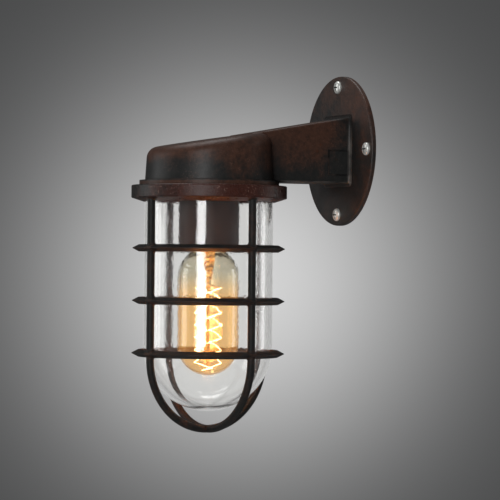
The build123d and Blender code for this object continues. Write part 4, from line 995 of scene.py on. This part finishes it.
def spigot_thread(finish):
    """Thread on the spigot under the hood: a low ridge wound down it at the thread's pitch.

    The section is a ridge with sloped sides and a narrow flat crest, closed inside the spigot's wall. Its
    height fades in and out over a quarter turn at both ends.
    """
    turns = (SPIGOT_THREAD_TOP - SPIGOT_THREAD_BOTTOM) / SPIGOT_THREAD_PITCH
    turn = np.linspace(0, 2 * math.pi * turns, round(turns * SPIGOT_THREAD_ROWS))[:, None]
    middle = SPIGOT_THREAD_TOP - SPIGOT_THREAD_PITCH * turn / (2 * math.pi)
    ends = np.minimum(turn, turn[-1] - turn) / (math.pi / 2)
    height = SPIGOT_THREAD_HEIGHT * np.clip(ends, SPIGOT_THREAD_END, 1)
    radius = SPIGOT_RADIUS - SPIGOT_THREAD_SUNK + np.array([SPIGOT_THREAD_OUT]) * height
    grid = on_lamp_axis(radius, turn, middle + np.array([SPIGOT_THREAD_UP]))
    make_piece("spigot_thread", [closed_surface(grid, False)], finish, "housing")


# The studio

def view_directions():
    """The camera's right, up and forward directions and its place, from the fitted angles."""
    azimuth = math.radians(CAMERA_AZIMUTH)
    pitch = math.radians(CAMERA_PITCH)
    roll = math.radians(CAMERA_ROLL)
    back = Vector((math.sin(azimuth), -math.cos(azimuth), 0))
    level = Vector((math.cos(azimuth), math.sin(azimuth), 0))
    forward = -back * math.cos(pitch) + Vector((0, 0, 1)) * math.sin(pitch)
    upright = level.cross(forward)
    right = level * math.cos(roll) + upright * math.sin(roll)
    up = upright * math.cos(roll) - level * math.sin(roll)
    place = Vector((0, -REACH, CAMERA_HEIGHT)) + back * CAMERA_DISTANCE + level * CAMERA_ASIDE
    return right, up, forward, place * MILLIMETRE


def set_camera():
    """The camera at the photograph's angle, with its lens from the fitted focal length."""
    right, up, forward, place = view_directions()
    lens = bpy.data.cameras.new("camera")
    lens.sensor_width = SENSOR_WIDTH
    lens.lens = FOCAL_PIXELS * SENSOR_WIDTH / PICTURE_PIXELS
    lens.clip_start = CLIP_START
    lens.clip_end = CLIP_END
    camera = bpy.data.objects.new("camera", lens)
    turn = Matrix((right, up, -forward)).transposed()
    camera.matrix_world = Matrix.Translation(place) @ turn.to_4x4()
    bpy.context.scene.collection.objects.link(camera)
    bpy.context.scene.camera = camera


def set_world():
    """Grey studio backdrop that is brighter behind the light, with a colour for each kind of ray.

    The camera and rough metal see a bright patch, which falls off as the exponential of minus the square of
    the distance over the spread. Sharp reflections, and rays that pass through glass, see an even grey that
    is brighter behind the light. Other rays get a soft fill. Bands are of the cosine from straight ahead.
    """
    world = bpy.data.worlds.new("studio")
    bpy.context.scene.world = world
    world.use_nodes = True
    f = Finish(world.node_tree)
    right, up, forward, _ = view_directions()
    way = f.node("TexCoord", output="Generated")
    across = f.vector("DOT_PRODUCT", way, right, "Value") - PATCH_RIGHT / FOCAL_PIXELS
    upward = f.vector("DOT_PRODUCT", way, up, "Value") - PATCH_UP / FOCAL_PIXELS
    ahead = f.vector("DOT_PRODUCT", way, forward, "Value")
    spread = (PATCH_SPREAD / FOCAL_PIXELS) ** 2
    bell = f.math("EXPONENT", (across * across + upward * upward) / (-spread))
    patch = bell * f.band(ahead, low=0.0, high=0.5)
    backdrop = f.blend(patch, BACKDROP_DARK, BACKDROP_BRIGHT)
    pale = f.blend(f.band(ahead, low=0.94, high=0.985), BACKDROP_ELSEWHERE, backdrop)
    beside = f.band(ahead, low=0.5, high=0.9)
    behind = f.band(ahead, low=0.93, high=0.995)
    mirrored = f.blend(behind, f.blend(beside, MIRRORED_ELSEWHERE, BESIDE_GLASS), BEHIND_GLASS)
    through = f.blend(behind, f.blend(beside, THROUGH_ELSEWHERE, BESIDE_GLASS), BEHIND_GLASS)
    colour = SOFT_FILL
    rays = (("Is Camera Ray", pale), ("Is Glossy Ray", backdrop), ("Is Singular Ray", mirrored),
            ("Is Transmission Ray", through))
    for ray, seen in rays:
        colour = f.blend(f.node("LightPath", output=ray), colour, seen)
    f.end(f.node("Background", None, {"Color": colour, "Strength": 1.0}), "OutputWorld")


def softbox(name, from_view, width, radiance, elevation=9, distance=1.6, tall=1.25):
    """A rectangular lamp that faces the light's middle, at an angle from the camera towards image left.

    Its power is its radiance times pi times its area.
    """
    target = Vector((0, -REACH, LAMPS_AIM_HEIGHT)) * MILLIMETRE
    azimuth = math.radians(CAMERA_AZIMUTH - from_view)
    rise = math.radians(elevation)
    way = Vector((math.sin(azimuth) * math.cos(rise), -math.cos(azimuth) * math.cos(rise), math.sin(rise)))
    lamp = bpy.data.lights.new(name, "AREA")
    lamp.shape = "RECTANGLE"
    lamp.size = width
    lamp.size_y = tall
    lamp.energy = radiance * math.pi * width * tall
    box = bpy.data.objects.new(name, lamp)
    box.location = target + way * distance
    box.rotation_mode = "QUATERNION"
    box.rotation_quaternion = way.to_track_quat("Z", "Y")
    bpy.context.scene.collection.objects.link(box)


def bulb_glow():
    """The light that the filament throws on what is near it, riding with the bulb."""
    glow = bpy.data.lights.new("bulb_glow", "POINT")
    glow.energy = 0.24
    glow.color = (1.0, 0.30, 0.055)
    glow.shadow_soft_size = 0.012
    lamp = bpy.data.objects.new("bulb_glow", glow)
    lamp.location = Vector((0, -REACH, (FILAMENT_TOP + BULB_BOTTOM) / 2)) * MILLIMETRE
    lamp.visible_camera = False
    lamp.visible_transmission = False
    bpy.context.scene.collection.objects.link(lamp)
    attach(lamp, "bulb")


def set_lamps():
    """Soft studio lamps round the light, and the bulb's own glow."""
    softbox("key_strip", from_view=12.8, width=0.42, radiance=10.5)
    softbox("left_panel", from_view=99, width=0.85, radiance=2.1)
    softbox("right_panel", from_view=-112, width=0.5, radiance=2.2)
    softbox("overhead", from_view=150, width=1.0, radiance=4.2, elevation=72, distance=1.4, tall=0.8)
    bulb_glow()


def floor_finish(middle):
    """Pale grey that fades out towards the floor's rim."""
    material, f = new_finish("floor")
    distance = f.vector("LENGTH", f.vector("SUBTRACT", f.place(), middle), output="Value")
    fade = f.band(distance / (FLOOR_RADIUS * MILLIMETRE), *FLOOR_FADE)
    f.end(f.surface({"Base Color": FLOOR_COLOUR, "Roughness": 0.8, "Alpha": 1 - fade}))
    return material


def set_floor():
    """Plain pale floor far below the light: a flat disc of rings round a middle point."""
    middle = Vector((0, -REACH, FLOOR_HEIGHT)) * MILLIMETRE
    radius = np.linspace(FLOOR_RADIUS / FLOOR_RINGS, FLOOR_RADIUS, FLOOR_RINGS)[:, None] * MILLIMETRE
    turn = around(FLOOR_COLUMNS)[None, :]
    flat = np.broadcast_arrays(radius * np.cos(turn), radius * np.sin(turn), 0.0)
    grid = np.stack(flat, axis=-1) + np.array(middle)
    points = np.concatenate([grid.reshape(-1, 3), [middle]])
    column = np.arange(FLOOR_COLUMNS)
    fan = np.stack([column, (column + 1) % FLOOR_COLUMNS, np.full(FLOOR_COLUMNS, len(points) - 1)], axis=-1)
    faces = grid_faces(FLOOR_RINGS, FLOOR_COLUMNS, False)[:, ::-1].tolist() + fan.tolist()
    mesh = bpy.data.meshes.new("floor")
    mesh.from_pydata(points.tolist(), [], faces)
    mesh.materials.append(floor_finish(middle))
    floor = bpy.data.objects.new("floor", mesh)
    bpy.context.scene.collection.objects.link(floor)


# Dressing the frame

def dress(finish, *names):
    """Give nodes of the frame a finish."""
    for name in names:
        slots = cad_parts[name].data.materials
        slots.clear()
        slots.append(finish)


def dress_castings():
    """Give the castings and the guard their patina, and return those of the casting and the guard."""
    # The casting and the plate carry painted shade, and the casting carries painted highlights
    casting = patina_finish("patina_casting", BROWN, sheen=0.18, rubbing=casting_rubbing,
                            speckle_and_glint_share=0.25, painted_shade=casting_painted_shade, painted_highlights=casting_painted_highlights)
    plate = patina_finish("patina_plate", BROWN, sheen=0.25, rubbing=plate_rubbing,
                          speckle_and_glint_share=0.2, painted_shade=plate_painted_shade)
    guard = patina_finish("patina_guard", BROWN, sheen=0.08, rubbing=guard_rubbing, speckle_and_glint_share=0.1)
    collar = patina_finish("patina_collar", RED_BROWN, sheen=0.18, rubbing=collar_rubbing,
                           speckle_and_glint_share=1.0, rough=0.3, relief=0.0006)
    dress(casting, "hood_and_arm")
    dress(plate, "wall_plate")
    dress(collar, "guard_collar")
    dress(guard, "guard_hoop_under", "guard_hoop_over",
          "guard_ring_upper", "guard_ring_middle", "guard_ring_lower")
    return casting, guard


def dress_metals():
    """Give the screws, contacts and other bare metal their finishes, and return the bulb's brass."""
    dress(steel_finish("screw_steel", tone(196, 198, 193), tone(222, 223, 219), metal=0.55,
                       recess=screw_recess), "wall_screws")
    dress(steel_finish("bright_steel", tone(168, 168, 165), tone(206, 206, 203), metal=1.0),
          "arm_screws", "strap_screws", "holder_strap", "earth_screw", "terminal_block_fixing")
    dress(metal_finish("brass", tone(150, 112, 58), tone(206, 168, 98), low_rough=0.25),
          "holder_nipple", "holder_locknut", "holder_rivets", "holder_terminals", "holder_terminal_screws",
          "screw_shell", "centre_contact", "terminal_sleeves", "terminal_block_screws", "earth_tag")
    dress(metal_finish("filament_metal", tone(150, 120, 84), tone(196, 164, 120), low_rough=0.3),
          "bulb_leads", "filament_supports")
    bulb_brass = metal_finish("bulb_brass", tone(176, 138, 72), tone(222, 186, 112), low_rough=0.2)
    dress(bulb_brass, "bulb_contact")
    return bulb_brass


def dress_coated_pieces():
    """Give the lampholder, the seals, the terminal block and the wires their coats."""
    dress(coated_finish("holder_bronze", tone(32, 20, 16), tone(46, 30, 25), low_rough=0.36,
                        grain_scale=900, grain_height=0.00006, sheen=0.12), "holder_cap", "holder_skirt")
    dress(coated_finish("ceramic", tone(222, 216, 204), tone(240, 236, 226), low_rough=0.25,
                        grain_scale=300, grain_height=0.00005), "holder_insert")
    dress(coated_finish("seal_rubber", tone(28, 28, 28), tone(44, 43, 42), low_rough=0.6,
                        grain_scale=1400, grain_height=0.00005), "glass_gasket", "glass_seat_ring")
    dress(coated_finish("bulb_black", tone(16, 15, 18), tone(34, 30, 34), low_rough=0.12,
                        grain_scale=300, grain_height=0.00003), "bulb_insulator")
    dress(coated_finish("block_plastic", tone(208, 206, 198), tone(228, 226, 220), low_rough=0.34,
                        grain_scale=900, grain_height=0.00003), "terminal_block")
    dress(coated_finish("wire_live", tone(92, 52, 30), tone(112, 66, 40), low_rough=0.36,
                        grain_scale=1500, grain_height=0.00003), "live_wire")
    dress(coated_finish("wire_neutral", tone(38, 78, 148), tone(54, 98, 172), low_rough=0.36,
                        grain_scale=1500, grain_height=0.00003), "neutral_wire")
    dress(earth_finish(), "earth_wire")


def main():
    """Dress the frame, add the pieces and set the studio."""
    casting, guard = dress_castings()
    bulb_brass = dress_metals()
    dress_coated_pieces()
    dress(stem_finish(), "bulb_stem")
    glass_jar(jar_finish())
    bulb_glass(bulb_finish())
    filament_wire(filament_finish())
    bulb_cap(bulb_brass)
    guard_braze(guard)
    spigot_thread(casting)
    set_camera()
    set_world()
    set_lamps()
    set_floor()
    bpy.context.scene.view_settings.view_transform = "Standard"


main()
